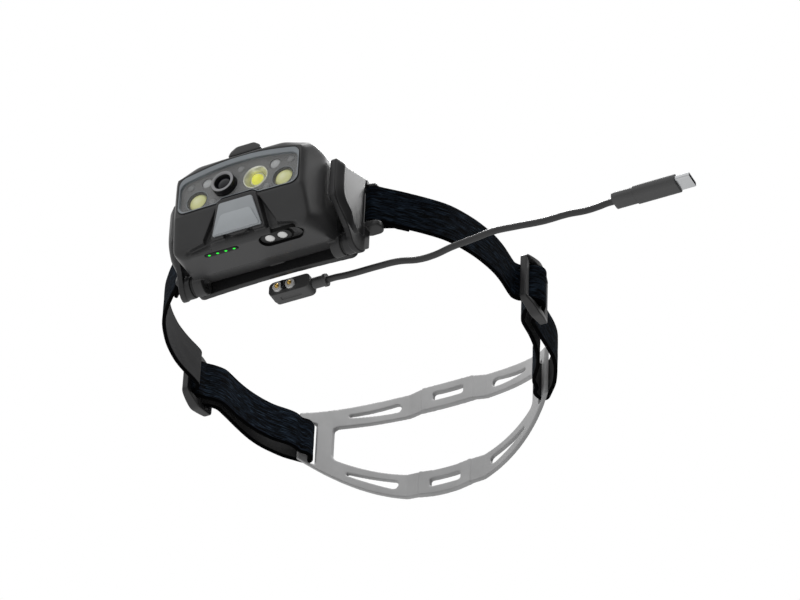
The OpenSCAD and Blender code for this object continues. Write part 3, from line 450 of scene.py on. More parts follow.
def clearOptic(name, look):
    material, tree, shader = startMaterial(name)
    haze = objectNoise(tree, hazeLook["scale"], 2)
    dull = tint(look["colour"], hazeLook["tone"])
    setInputs(tree, shader, {
        "Base Color": mixColours(tree, spread(tree, haze, 0, 1), dull, look["colour"]),
        "Roughness": spread(tree, haze, *tint(hazeLook["rough"], look["rough"])),
        "Transmission Weight": look["clear"],
        "IOR": look["bend"],
        "Coat Weight": look["coat"],
        "Coat Roughness": hazeLook["coatRough"],
    })
    return material


optics = {
    "clearLens": {"colour": (0.97, 0.98, 0.985), "rough": 0.02, "clear": 1.0, "coat": 0, "bend": 1.3},
    "coatedGlass": {"colour": (0.006, 0.006, 0.010), "rough": 0.04, "clear": 0.0, "coat": 0.2, "bend": 1.36},
}
for name, look in optics.items():
    materials[name] = clearOptic(name, look)


# Moulded optics that go from a bright middle to a duller rim, with fine turned rings; the duller rim of the domes
# and studs is painted shade, and the emission is a painted glow, as none of these lights is switched on
turnLook = {
    "halfSpan": (0.1, 0.6),
    "rimSpan": (0.72, 0.98),
    "cloudSpan": (0.4, 0.7),
    "cloudShare": 0.35,
    "rough": (0.8, 1.2),
    "coatRough": 0.05,
    "ringBump": (0.2, 0.05),
}


def turnedOptic(name, look):
    material, tree, shader = startMaterial(name)
    rim = addNode(tree, "ShaderNodeAttribute", attribute_name="rim").outputs["Fac"]
    cloud = objectNoise(tree, look["cloud"], 2)
    # tones from middle to rim: painted shade towards the rim of the domes and studs, painted reflections on the
    # bowl
    inner = mixColours(tree, spread(tree, rim, 0, 1, *turnLook["halfSpan"]), look["middle"], look["half"])
    tone = mixColours(tree, spread(tree, rim, 0, 1, *turnLook["rimSpan"]), inner, look["rim"])
    patches = spread(tree, cloud, 0, turnLook["cloudShare"], *turnLook["cloudSpan"])
    setInputs(tree, shader, {
        "Base Color": mixColours(tree, patches, tone, look["half"]),
        "Roughness": spread(tree, cloud, *tint(turnLook["rough"], look["rough"])),
        "Metallic": look.get("metal", 0),
        "Coat Weight": look["coat"],
        "Coat Roughness": turnLook["coatRough"],
        # painted glow: these optics are unlit, this emission only brightens them
        "Emission Color": (*look["half"], 1),
        "Emission Strength": look["glow"],
    })
    turns = calculate(tree, "MULTIPLY", rim, look["rings"] * 2 * math.pi)
    addBump(tree, shader, calculate(tree, "SINE", turns), *turnLook["ringBump"])
    return material


turned = {
    "floodCream": {"middle": (0.84, 0.84, 0.60), "half": (0.68, 0.68, 0.28), "rim": (0.34, 0.33, 0.11),
                   "rough": 0.4, "coat": 0.7, "glow": 0.3, "rings": 7, "cloud": 420},
    "auxFrost": {"middle": (0.62, 0.62, 0.62), "half": (0.56, 0.56, 0.56), "rim": (0.32, 0.32, 0.32),
                 "rough": 0.45, "coat": 0.4, "glow": 0.05, "rings": 3, "cloud": 600},
    "spotPhosphor": {"middle": (0.98, 0.97, 0.06), "half": (0.90, 0.88, 0.05), "rim": (0.66, 0.65, 0.22),
                     "rough": 0.3, "coat": 0.6, "glow": 0.4, "rings": 2, "cloud": 900},
    "studGrey": {"middle": (0.27, 0.27, 0.27), "half": (0.24, 0.24, 0.24), "rim": (0.10, 0.10, 0.10),
                 "rough": 0.3, "coat": 0.4, "glow": 0, "rings": 1, "cloud": 700},
    # the reflector's yellow middle and near-white rim are painted reflections of the yellow emitter and of the
    # bright surroundings, with a faint painted glow
    "bowlPaintedReflection": {"middle": (0.70, 0.68, 0.16), "half": (0.80, 0.79, 0.40), "rim": (0.95, 0.95, 0.90),
                    "rough": 0.18, "coat": 0.5, "glow": 0.04, "rings": 3, "cloud": 500, "metal": 0.6},
}
for name, look in turned.items():
    materials[name] = turnedOptic(name, look)

# Webbing: lengthwise heather streaks on the outer face, plain knit inside, smooth black selvedges
webLook = {
    "base": (0.0003, 0.0005, 0.0009),
    "streak": (0.0075, 0.0125, 0.0210),
    "fleck": (0.026, 0.042, 0.064),
    "selvedge": (0.0015, 0.0015, 0.0018),
    "inside": (0.045, 0.045, 0.046),
    "ribs": 26,
    "ribHeight": 0.25,
    "streaksAcross": 24,
    "streaksAlong": 2.3,
    "streakSpan": (0.46, 0.60),
    "fleckShrink": (1.3, 1.5),
    "fleckSpan": (0.55, 0.70),
    "fleckShare": 0.8,
    "waves": 2.4,
    "waveSize": 0.07,
    "rough": 0.8,
    "shine": 0.02,
    "bump": (0.5, 0.25),
}


def webbingFinish(name, look):
    material, tree, shader = startMaterial(name)
    weave = addNode(tree, "ShaderNodeUVMap", uv_map="weave").outputs["UV"]
    # wavy streaks that run along the strap, with paler flecks
    wander = addNode(tree, "ShaderNodeTexNoise", {"Vector": weave, "Scale": look["waves"], "Detail": 2.0})
    bend = addNode(tree, "ShaderNodeVectorMath", {
        0: wander.outputs["Color"], 1: (look["waveSize"], 0, 0)}, operation="MULTIPLY")
    moved = addNode(tree, "ShaderNodeVectorMath", {0: weave, 1: bend.outputs[0]}, operation="ADD")

    def stretchedNoise(across, along, settings):
        stretch = addNode(tree, "ShaderNodeMapping", {"Vector": moved.outputs[0], "Scale": (across, along, 1)})
        texture = addNode(tree, "ShaderNodeTexNoise", {
            "Vector": stretch.outputs["Vector"], "Scale": 1.0, **settings})
        return texture.outputs["Fac"]

    across, along = look["streaksAcross"], look["streaksAlong"]
    finer, shorter = look["fleckShrink"]
    streak = stretchedNoise(across, along, {"Detail": 3.0, "Roughness": 0.6})
    fleck = stretchedNoise(across * finer, along * shorter, {"Detail": 2.0})
    streaks = spread(tree, streak, 0, 1, *look["streakSpan"])
    flecks = spread(tree, fleck, 0, look["fleckShare"], *look["fleckSpan"])
    heather = mixColours(tree, flecks, mixColours(tree, streaks, look["base"], look["streak"]), look["fleck"])
    # the face attribute is 1 on the outer face and 0 on the inner one, edge is 1 on the selvedges
    face = addNode(tree, "ShaderNodeAttribute", attribute_name="face")
    edge = addNode(tree, "ShaderNodeAttribute", attribute_name="edge")
    tone = mixColours(tree, face.outputs["Fac"], look["inside"], heather)
    setInputs(tree, shader, {
        "Base Color": mixColours(tree, edge.outputs["Fac"], tone, look["selvedge"]),
        "Roughness": look["rough"],
        "Specular IOR Level": look["shine"],
    })
    # fine ribs across the width give the relief
    split = addNode(tree, "ShaderNodeSeparateXYZ", {"Vector": weave})
    ribs = calculate(tree, "SINE", calculate(tree, "MULTIPLY", split.outputs["X"], look["ribs"] * 2 * math.pi))
    relief = calculate(tree, "ADD", calculate(tree, "MULTIPLY", ribs, look["ribHeight"]), streak)
    addBump(tree, shader, relief, *look["bump"])
    return material


materials["webbing"] = webbingFinish("webbing", webLook)

# Soft foam under a fine knit, for the forehead pad
foamLook = {
    "dark": (0.0128, 0.0128, 0.014),
    "pale": (0.02, 0.02, 0.021875),
    "knit": 1500,
    "cloud": 120,
    "rough": 0.85,
    "sheen": 0.2,
    "bump": (0.6, 0.25),
}


def foamFinish(name, look):
    material, tree, shader = startMaterial(name)
    place = addNode(tree, "ShaderNodeTexCoord")
    knit = addNode(tree, "ShaderNodeTexVoronoi", {"Vector": place.outputs["Object"], "Scale": look["knit"]})
    cloud = spread(tree, objectNoise(tree, look["cloud"], 3), 0, 1)
    setInputs(tree, shader, {
        "Base Color": mixColours(tree, cloud, look["dark"], look["pale"]),
        "Roughness": look["rough"],
        "Sheen Weight": look["sheen"],
    })
    addBump(tree, shader, knit.outputs["Distance"], *look["bump"])
    return material


materials["foam"] = foamFinish("foam", foamLook)

# Charging cord: the same route as the CAD tube
cordLook = {
    "diameter": 3.0,
    "start": 20.5,
    "route": [
        (0, -79.6, 3.8), (4, -79.6, 3.8), (9, -80.5, 2.6), (14, -81.5, 1.5), (26, -81.5, 1.5), (36, -81, 1.5),
        (45, -78.5, 1.5), (52, -78.5, 1.5), (62, -80.5, 1.5), (74, -82, 1.5), (83, -83, 1.5), (94, -82, 1.5),
        (106, -80.5, 1.5), (118, -80.5, 1.5), (126, -79.5, 1.5), (132, -79, 2.2), (136, -79, 2.7),
        (139.5, -79, 2.7),
    ],
    "roundSteps": 6,
    "bendSteps": 10,
}


def makeCord(look):
    route = look["route"]
    data = bpy.data.curves.new("chargeCord", "CURVE")
    data.dimensions = "3D"
    data.bevel_depth = look["diameter"] / 2 * mm
    data.bevel_resolution = look["roundSteps"]
    data.resolution_u = look["bendSteps"]
    data.use_fill_caps = True
    line = data.splines.new("BEZIER")
    line.bezier_points.add(len(route) - 1)
    for point, (x, y, z) in zip(line.bezier_points, route):
        point.co = Vector((x + look["start"], y, z)) * mm
        point.handle_left_type = point.handle_right_type = "AUTO"
    data.materials.append(materials["cableRubber"])
    cord = addObject("chargeCord", data)
    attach(cord, "head_frame")
    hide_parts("cord")
    return cord, line.calc_length()


chargeCord, cordLength = makeCord(cordLook)
print("cord length:", round(cordLength, 4))

# Moulded pieces: CAD shapes with softened edges
# each is node, finish, body, slot, voxel size, rounds of smoothing and the share of faces kept
softened = {
    "frontShell": ("front_housing", "housingPlastic", "lamp_head", "housing", 0.28, 5, 0.3),
    "rearShell": ("rear_housing", "housingPlastic", "lamp_head", "housing", 0.35, 4, 0.4),
    "pushButton": ("top_button", "housingPlastic", "top_button", "housing", 0.25, 40, 0.6),
    "tiltBracket": ("bracket_frame", "bracketPlastic", "head_frame", "housing", 0.26, 12, 0.32),
    "leftSlideBuckle": ("left_buckle", "bracketPlastic", "left_buckle", "housing", 0.22, 12, 0.6),
    "rightSlideBuckle": ("right_buckle", "bracketPlastic", "right_buckle", "housing", 0.22, 12, 0.6),
    "softBand": ("rear_band", "siliconeGrey", "head_frame", "silicone", 0.3, 10, 0.35),
    "plugGrip": ("plug_body", "plugRubber", "head_frame", "cable", 0.14, 5, 0.6),
    "plugFoot": ("plug_base", "plugRubber", "head_frame", "cable", 0.14, 5, 0.6),
    "plugStrainRelief": ("plug_neck", "plugRubber", "head_frame", "cable", 0.14, 4, 0.6),
    "farPlugCollar": ("power_plug_collar", "plugRubber", "head_frame", "cable", 0.16, 5, 0.6),
    "farPlugGrip": ("power_plug_body", "plugRubber", "head_frame", "cable", 0.16, 5, 0.6),
}

# Where the front shell is rounded further, in millimetres from the lamp head's origin, with each fade's width
cornerLook = {
    "depth": 22,
    "rimDepth": 5,
    "rim": (31.2, -8.5, 18.4),
    "chin": (25, -7, 4),
    "flank": (30, 2),
    "brow": (9, 8, 14.5, 2),
    "browLean": (13, 0.3),
}
archFall = 190  # the arched top falls by the square of the distance from its middle, divided by this


def shellCorner(spot):
    # share of polish: the four outer corners of the front shell, clear of the lens rim
    look = cornerLook
    x, y, z = abs(spot.x), spot.y - lampShift.y, spot.z - lampShift.z
    rimX, rimLow, rimTop = look["rim"]
    nearRim = y < look["rimDepth"] and x < rimX and rimLow < z < rimTop - x * x / archFall
    if y > look["depth"] or nearRim:
        return 0
    chinX, chinZ, chinFade = look["chin"]
    chin = min((x - chinX) / chinFade, (chinZ - z) / chinFade)
    flankX, flankFade = look["flank"]
    flank = (x - flankX) / flankFade
    browX, browFadeX, browZ, browFadeZ = look["brow"]
    leanX, lean = look["browLean"]
    brow = min((x - browX) / browFadeX, (z - browZ + (x - leanX) * lean) / browFadeZ)
    return min(1, max(0, chin, flank, brow))


for name, (node, finish, body, slot, voxel, rounds, keep) in softened.items():
    polish = shellCorner if name == "frontShell" else None
    finishPiece(softCopy(node, name, voxel, rounds, keep, polish), materials[finish], body, slot, node)
# the button's foot stops just clear of the switch at the end of its travel
buttonFoot = 45.85
for vert in bpy.data.objects["pushButton"].data.vertices:
    vert.co.z = max(vert.co.z, buttonFoot * mm)
print("softened pieces:", len(softened))

# Raised rim along the front and lower edge of each wing, seen from the side as (back, up)
rimLook = {
    "path": ((14.9, 13.4), (14.8, 7), (14.8, 0), (14.9, -5.5),
             (16.6, -9.4), (20.4, -12.8), (24.2, -15.9), (30, -20.2)),
    "section": ((-0.7, -0.3), (0.1, -0.5), (1.8, 0.9), (2.5, 1.9),
                (2.7, 2.7), (2.3, 3.5), (0.2, 4.6), (-0.7, 4.6)),
    "edge": (41, 14.3, 0.188),
    "steps": 6,
    "relax": 30,
    "topShare": 0.3,
    "fadeTop": 4,
    "fadeFoot": 12,
}


def makeRim(name, look, mirror):
    line = []
    points = [Vector(point) for point in look["path"]]
    for first, second in zip(points, points[1:]):
        line += [first.lerp(second, k / look["steps"]) for k in range(look["steps"])]
    line.append(points[-1])
    relaxLine(line, look["relax"])
    edgeX, edgeY, lean = look["edge"]
    last = len(line) - 1
    loops = []
    for i, spot in enumerate(line):
        heading = (line[min(i + 1, last)] - line[max(i - 1, 0)]).normalized()
        inward = Vector((-heading.y, heading.x))
        share = min(1, look["topShare"] + i / look["fadeTop"], (last - i) / look["fadeFoot"])
        share = share * share * (3 - 2 * share)
        loop = []
        for out, across in look["section"]:
            side = spot + inward * across
            x = edgeX + (side.x - edgeY) * lean + (out * share if out > 0 else out)
            loop.append(Vector((x * mirror, side.x, side.y)) + lampShift)
        loops.append(loop)
    piece = loft(name, loops, caps=True, sharp=0)
    rounding = piece.modifiers.new("rounding", "SUBSURF")
    rounding.levels = rounding.render_levels = 2
    return bake(piece)


for side, sign in sideSigns.items():
    rim = makeRim(side + "WingRim", rimLook, sign)
    finishPiece(rim, materials["bracketPlastic"], "head_frame", "housing")

# Nodes that keep their CAD shape
kept = {
    "housing_seal": "sealRubber", "housing_screws": "steelBright", "flood_leds": "phosphorYellow",
    "optics_mask": "maskGrey", "led_board": "boardWhite", "heat_sink": "sinkAluminium",
    "battery_cell": "cellSleeve", "battery_contacts": "goldPlating", "main_board": "boardGreen",
    "tact_switch": "trimBlack", "charge_magnet": "steelBright", "tilt_pins": "steelBright",
    "friction_washers": "trimBlack", "plug_magnets": "magnetPaintedHighlight", "plug_key": "trimBlack",
    "power_plug_shell": "steelBright",
}
for node, finish in kept.items():
    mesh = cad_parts[node].data
    mesh.materials.clear()
    mesh.materials.append(materials[finish])

# Turned optics behind the lens: (radius, depth) profiles about each light's own axis
opticsLook = {"spot": (7.5, 2.4, 4.3), "focus": (-7.5, -1.3, 4.3)}
pairedOptics = {"Flood": (21.5, 2.4, 0), "Aux": (17, 2.4, 8.8)}
studLook = {"sites": ((25, 8.6), (13.6, -3.1), (0, 11), (-13.6, -3.1), (-25, 8.6)), "depth": 2.4}
turnedPieces = [
    ("focusBarrel", "focus", "trimBlack", "trim_black", True, ["focus_ring"],
     [(5.2, 0.4), (5.45, 0.08), (5.65, 0.12), (5.78, 0.35), (5.8, 0.7), (5.8, 12.9), (5.2, 12.9)]),
    ("focusTrim", "focus", "ringGrey", "trim_black", True, [],
     [(5.55, 0.05), (5.4, 0), (4.35, 0.1), (4.2, 0.22), (4.1, 0.5), (4.1, 2.4), (5.1, 2.4), (5.35, 0.5)]),
    ("focusCone", "focus", "trimBlack", "trim_black", True, [],
     [(4.12, 0.5), (3.95, 0.8), (3.8, 1.3), (3.75, 2.6), (4.12, 2.6)]),
    ("focusGlass", "focus", "coatedGlass", "dark_glass", False, ["focus_lens"],
     [(0, 0.95), (0.8, 0.98), (1.6, 1.1), (2.4, 1.32), (3.1, 1.6), (3.7, 1.95), (3.74, 2.4), (3.7, 12.5),
      (0, 12.5)]),
    ("spotBowl", "spot", "bowlPaintedReflection", "mirror_bright", True, ["spot_reflector"],
     [(5.55, 0.25), (5.75, 0.02), (6.0, 0), (6.1, 0.2), (6.1, 1.2), (5.6, 2.4), (4.7, 3.4), (3.9, 4.2),
      (3.9, 9.2), (3.2, 9.2), (3.2, 3.5), (3.7, 3.1), (4.3, 2.4), (4.85, 1.6), (5.25, 0.85)]),
    ("spotCollar", "spot", "boardWhite", "board_white", True, [],
     [(2.95, 2.2), (3.1, 1.9), (3.35, 1.9), (3.5, 2.2), (3.5, 4.4), (2.95, 4.4)]),
    ("spotEmitter", "spot", "spotPhosphor", "phosphor", False, ["spot_led"],
     [(0, -0.1), (0.8, 0.0), (1.55, 0.3), (2.2, 0.8), (2.65, 1.5), (2.88, 2.3), (2.95, 3.0), (2.95, 9.2),
      (0, 9.2)]),
]
for side, sign in sideSigns.items():
    for kind, (across, depth, up) in pairedOptics.items():
        opticsLook[side + kind] = (across * sign, depth, up)
    floodNodes, auxNodes = (["flood_lenses"], ["aux_lenses"]) if side == "right" else ([], [])
    turnedPieces += [
        (side + "FloodDome", side + "Flood", "floodCream", "flood_optic", False, floodNodes,
         [(0, -0.35), (1.0, -0.28), (2.0, -0.07), (2.9, 0.25), (3.7, 0.65), (4.2, 1.1), (4.42, 1.6),
          (4.45, 7.4), (0, 7.4)]),
        (side + "FloodSocket", side + "Flood", "socketBlack", "mask", True, [],
         [(4.5, 0.5), (4.65, 0.05), (4.85, -0.12), (5.1, -0.1), (5.25, 0.1), (5.25, 0.9), (4.5, 1.4)]),
        # a pale ring where the mask's rim catches the light: a painted highlight
        (side + "FloodHighlightRing", side + "Flood", "bezelGrey", "bezel", True, [],
         [(5.22, 0.0), (5.3, -0.14), (5.45, -0.16), (5.55, 0.0), (5.55, 0.6), (5.22, 0.6)]),
        (side + "AuxDome", side + "Aux", "auxFrost", "diffuser", False, auxNodes,
         [(0, -0.15), (0.8, -0.1), (1.6, 0.03), (2.2, 0.24), (2.55, 0.5), (2.6, 0.9), (2.6, 1.7), (1.2, 1.8),
          (1.2, 9.2), (0, 9.2)]),
    ]
for count, (across, up) in enumerate(studLook["sites"], 1):
    opticsLook["stud%d" % count] = (across, studLook["depth"], up)
    turnedPieces.append(
        ("maskStud%d" % count, "stud%d" % count, "studGrey", "mask", False, [],
         [(0, -0.36), (1.0, -0.35), (1.5, -0.3), (1.72, -0.18), (1.8, -0.04), (1.95, 0.0), (2.1, -0.03),
          (2.2, 0.1), (2.0, 0.4), (0, 0.4)]))
for name, site, finish, slot, loop, nodes, profile in turnedPieces:
    piece = addObject(name, latheMesh(name, profile, Vector(opticsLook[site]) + lampShift, loop))
    finishPiece(piece, materials[finish], "lamp_head", slot, *nodes)
print("turned optics:", len(turnedPieces))

# Outlines with rounded corners, and the lens outline with its arched top and its notch
cornerSteps = 8
lensLook = {"arch": (20, 5), "notch": (7.6, 10.6, 0.4, 1.5), "lowCorner": 4, "highCorner": 4.5, "shoulder": 4.2}


def roundCorners(points, steps=cornerSteps, straight=1.55):
    # points are (x, y, radius): a corner with no radius, or nearly straight, stays as it is
    line = []
    for i, (x, y, radius) in enumerate(points):
        here = Vector((x, y))
        before, after = (Vector(points[k % len(points)][:2]) for k in (i - 1, i + 1))
        first, last = (before - here).normalized(), (after - here).normalized()
        half = first.angle(last) / 2
        if radius == 0 or half > straight:
            line.append(here)
            continue
        start, stop = (here + way * radius / math.tan(half) for way in (first, last))
        middle = here + (first + last).normalized() * radius / math.sin(half)
        for k in range(steps + 1):
            arm = (start - middle).lerp(stop - middle, k / steps)
            line.append(middle + arm.normalized() * radius)
    return line


def lensOutline(look):
    w, top, low = look["halfWidth"], look["top"], -look["floor"]
    notch, shoulder = low + look["notchUp"], top - lensLook["shoulder"]
    archEnd, archStep = lensLook["arch"]
    inner, outer, lift, bend = lensLook["notch"]
    arch = [(x, top - x * x / archFall, 0) for x in range(archEnd, -archEnd - 1, -archStep)]
    lowEdge = [(-w, low, lensLook["lowCorner"]), (-outer, low + lift, bend), (-inner, notch, bend),
               (inner, notch, bend), (outer, low + lift, bend), (w, low, lensLook["lowCorner"])]
    return roundCorners(lowEdge + [(w, shoulder, lensLook["highCorner"])] + arch
                        + [(-w, shoulder, lensLook["highCorner"])])


# Bezel: a pale rim, broad at the top, with the mask's own flange and the edge of the clear lens inside it
bezelLook = {
    "halfWidth": 30.15,
    "top": 17.05,
    "floor": 6.95,
    "notchUp": 2.5,
    # steps are (inset, inset at the top, depth)
    "rim": ((0, 0, 2.4), (0, 0, 0.15), (0.12, 0.12, -0.05), (0.6, 2.3, 0.2), (0.7, 2.5, 0.4), (0.7, 2.5, 2.4)),
    "flange": ((0.6, 2.4, 2.4), (0.6, 2.4, 1.9), (1.5, 3.0, 2.28), (1.5, 3.0, 2.4)),
    "lens": ((0.5, 2.3, 0.75), (0.5, 2.3, 1.4)),
}


def bezelLoops(steps, look):
    loops = []
    for inset, topInset, depth in steps:
        line = lensOutline({
            "halfWidth": look["halfWidth"] - inset, "top": look["top"] - topInset, "floor": look["floor"] - inset,
            "notchUp": look["notchUp"]})
        loops.append([Vector((p.x, depth, p.y)) + lampShift for p in line])
    return loops


lensBezel = loft("lensBezel", bezelLoops(bezelLook["rim"], bezelLook), joined=True)
finishPiece(lensBezel, materials["bezelGrey"], "lamp_head", "bezel", "lens_bezel")
maskFlange = loft("maskFlange", bezelLoops(bezelLook["flange"], bezelLook), joined=True)
finishPiece(maskFlange, materials["maskGrey"], "lamp_head", "mask")

# Face plate with its raised panel, leaning back
plateLook = {"bottom": 12.2, "top": 8.2, "low": -7.65, "high": 7.65, "corner": 1.2, "front": 0.0, "back": 1.0}
panelLook = {"bottom": 11.3, "top": 7.3, "low": -7.2, "high": 1.9, "corner": 2.2, "front": -0.45, "back": 0.3}
plateSeat = {
    "lean": 12.9,
    "middle": (0, 0.2, -16.15),
    "footCorner": 0.5,
    "edge": ((0.2, 0), (0.05, 0.06), (0, 0.2)),
}


def platePoints(look, inset, depth):
    low, high = look["low"] + inset, look["high"] - inset
    wide, narrow = look["bottom"] - inset, look["top"] - inset
    foot, corner = plateSeat["footCorner"], look["corner"]
    corners = [(-wide, low, foot), (wide, low, foot), (narrow, high, corner), (-narrow, high, corner)]
    turn = Matrix.Rotation(math.radians(plateSeat["lean"]), 3, "X")
    seat = Vector(plateSeat["middle"])
    return [turn @ Vector((p.x, depth, p.y)) + seat + lampShift for p in roundCorners(corners)]


def plateSlab(name, look):
    loops = [platePoints(look, inset, look["front"] + depth) for inset, depth in plateSeat["edge"]]
    return loft(name, loops + [platePoints(look, 0, look["back"])], caps=True)


facePlate, facePanel = plateSlab("facePlate", plateLook), plateSlab("facePanel", panelLook)
finishPiece(facePlate, materials["plateAluminium"], "lamp_head", "metal_plate", "face_plate")
finishPiece(facePanel, materials["panelAluminium"], "lamp_head", "metal_plate")
lensPlate = loft("lensPlate", bezelLoops(bezelLook["lens"], bezelLook), caps=True)
lensPlate.visible_shadow = False
finishPiece(lensPlate, materials["clearLens"], "lamp_head", "clear", "front_lens")

# Charging contacts: a near-black tray lining the recess in the chin, partly the real black tray and partly painted
# shade of the recess, a raised insert and two domed pads, with steps as (inset, height)
trayLook = {
    "x": (7.0, 28.0),
    "y": 11.0,
    "width": 8.0,
    "steps": ((0.75, -25.0), (0.3, -25.04), (0.05, -26.5), (-0.1, -26.5), (-0.1, -24.5)),
}
insertLook = {
    "x": (7.75, 22.45),
    "y": 11.0,
    "width": 6.3,
    "steps": ((0.35, -25.75), (0.1, -25.67), (0, -25.45), (0, -22.75)),
}
padLayout = {"x": (12.0, 18.2), "y": 11.0, "face": -25.75, "sides": 48}
padDome = [(0, -0.5), (0.8, -0.46), (1.5, -0.34), (2.0, -0.16), (2.25, 0.05), (2.3, 0.3), (2.3, 1.6), (0.9, 1.7),
           (0.9, 6.0), (0, 6.0)]
endSteps = 14


def stadiumSlab(name, look, base=0, slope=0):
    # slab with half-round ends, level or on a slope from front to back
    left, right = look["x"]
    loops = []
    for inset, height in look["steps"]:
        half = look["width"] / 2 - inset
        bend = half - 0.05  # just short of a half circle
        corners = [(left + inset, -half, bend), (right - inset, -half, bend), (right - inset, half, bend),
                   (left + inset, half, bend)]
        loops.append([Vector((p.x, p.y + look["y"], base + height + slope * p.y)) + lampShift
                      for p in roundCorners(corners, endSteps)])
    return loft(name, loops, caps=True)


finishPiece(stadiumSlab("chargeTray", trayLook), materials["trayBlackAndShade"], "lamp_head", "trim_black")
chargeInsert = stadiumSlab("chargeInsert", insertLook)
finishPiece(chargeInsert, materials["trimBlack"], "lamp_head", "trim_black", "charge_insert")
for side, x in zip(sideSigns, padLayout["x"]):
    name = side + "ChargePad"
    centre = Vector((x, padLayout["y"], padLayout["face"])) + lampShift
    pad = addObject(name, latheMesh(name, padDome, centre, sides=padLayout["sides"], upright=True))
    finishPiece(pad, materials["padSilver"], "lamp_head", "steel", *(["charge_pads"] if side == "right" else []))

# Spring pins of the near plug: domed tips, and tails that stop short of their bores when pressed
pinLook = {"x": (-2.3, 3.9), "y": -86.0, "z": 3.8, "sides": 32}
pinProfile = [(0, 0), (0.35, 0.03), (0.55, 0.12), (0.66, 0.27), (0.7, 0.55), (0.9, 0.62), (0.96, 0.75),
              (0.97, 3.5), (0.9, 3.72), (0, 3.72)]
for side, x in zip(sideSigns, pinLook["x"]):
    name = side + "ContactPin"
    centre = (x, pinLook["y"], pinLook["z"])
    pin = addObject(name, latheMesh(name, pinProfile, centre, sides=pinLook["sides"]))
    finishPiece(pin, materials["goldPlating"], side + "_spring_pin", "gold", side + "_spring_pin")

# Battery gauge: a black window flush with the sloping chin and four green light pipes
chinLook = {"edgeY": 6, "edgeZ": -27.5, "slope": 0.235}
gaugeLook = {
    "x": (-19.35, -3.45),
    "y": 9.6,
    "width": 2.9,
    "steps": ((0.2, -0.05), (0.05, -0.02), (0, 0.06), (0, 1.4)),
    "count": 4,
    "pitch": 4.1,
    "dot": 1.0,
    "sunk": 0.66,
}


def makeGauge(look, chin):
    face = chin["edgeZ"] + (look["y"] - chin["edgeY"]) * chin["slope"]
    window = stadiumSlab("gaugeWindow", look, face, chin["slope"])
    gaps = look["count"] - 1
    first = sum(look["x"]) / 2 - gaps / 2 * look["pitch"]
    ends = (first, first + (gaps + 0.02) * look["pitch"])  # a little past the last dot, so that it isn't dropped
    line = [Vector((x, look["y"], face + look["sunk"])) + lampShift for x in ends]
    dots = runTree(lineObject("gaugeDots", [line]), stitchTree, {
        "Spacing": look["pitch"] * mm, "Thread": [look["dot"] * mm] * 3, "Material": materials["gaugeGreen"]})
    return window, dots


gaugeWindow, gaugeDots = makeGauge(gaugeLook, chinLook)
finishPiece(gaugeWindow, materials["gaugeBlack"], "lamp_head", "gauge_black", "gauge_window")
finishPiece(gaugeDots, materials["gaugeGreen"], "lamp_head", "gauge_green", "gauge_leds")

# Black gasket between the shell and the bezel, swept round the lens outline
gasketLook = {
    "halfWidth": 30.28,
    "top": 17.18,
    "floor": 7.08,
    "notchUp": 2.5,
    "depth": 0.3,
    "radius": 0.24,
    "sides": 12,
}
gasketLine = [Vector((p.x, gasketLook["depth"], p.y)) + lampShift for p in lensOutline(gasketLook)]
gasket = runTree(lineObject("lensGasket", [gasketLine], closed=True), beadTree, {
    "Radius": gasketLook["radius"] * mm, "Sides": gasketLook["sides"],
    "Material": materials["trimBlack"]})
finishPiece(gasket, materials["trimBlack"], "lamp_head", "trim_black")
print("chin pieces done")

# Forehead pad: a crowned foam pad, pulled in at two sewn channels, flat where it sits on the bracket
padLook = {
    "halfWidth": 33.0,
    "bottom": 15.0,
    "top": 42.5,
    "corner": 6.0,
    "seatY": -87.2,
    "thickness": 3.4,
    "forehead": 95.0,
    "crown": 0.9,
    "channels": (-11.0, 11.0),
    "channelWidth": 1.5,
    "channelDepth": 1.5,
    "rings": 84,
    "edge": 0.9,
    "edgeCurve": (10, 0.35),
    "crownCurve": 4,
    "cornerSteps": 12,
    "least": 0.3,
    "outlineStep": 1.1,
    "foot": ((1.0, 0.35), (0.985, 0)),
    "seamShare": 0.84,
    "seamSteps": 40,
    "seamSunk": 0.05,
}


def padDepth(look, x, z, share):
    # how far the pad stands off its seat: hollow like a forehead, crowned, pulled in at channels and edge
    halfHeight = (look["top"] - look["bottom"]) / 2
    hollow = look["forehead"] - math.sqrt(look["forehead"] ** 2 - x * x)
    inner, outer = look["edgeCurve"]
    rounding = (1 - share ** inner) ** outer if share < 1 else 0
    height = look["thickness"] + hollow - look["crown"] * 0.5
    puff = look["crown"] * (1 - (z / halfHeight) ** look["crownCurve"])
    for channel in look["channels"]:
        puff -= look["channelDepth"] * math.exp(-((x - channel) / look["channelWidth"]) ** 2)
    return look["edge"] + max(look["least"], height + puff - look["edge"]) * rounding


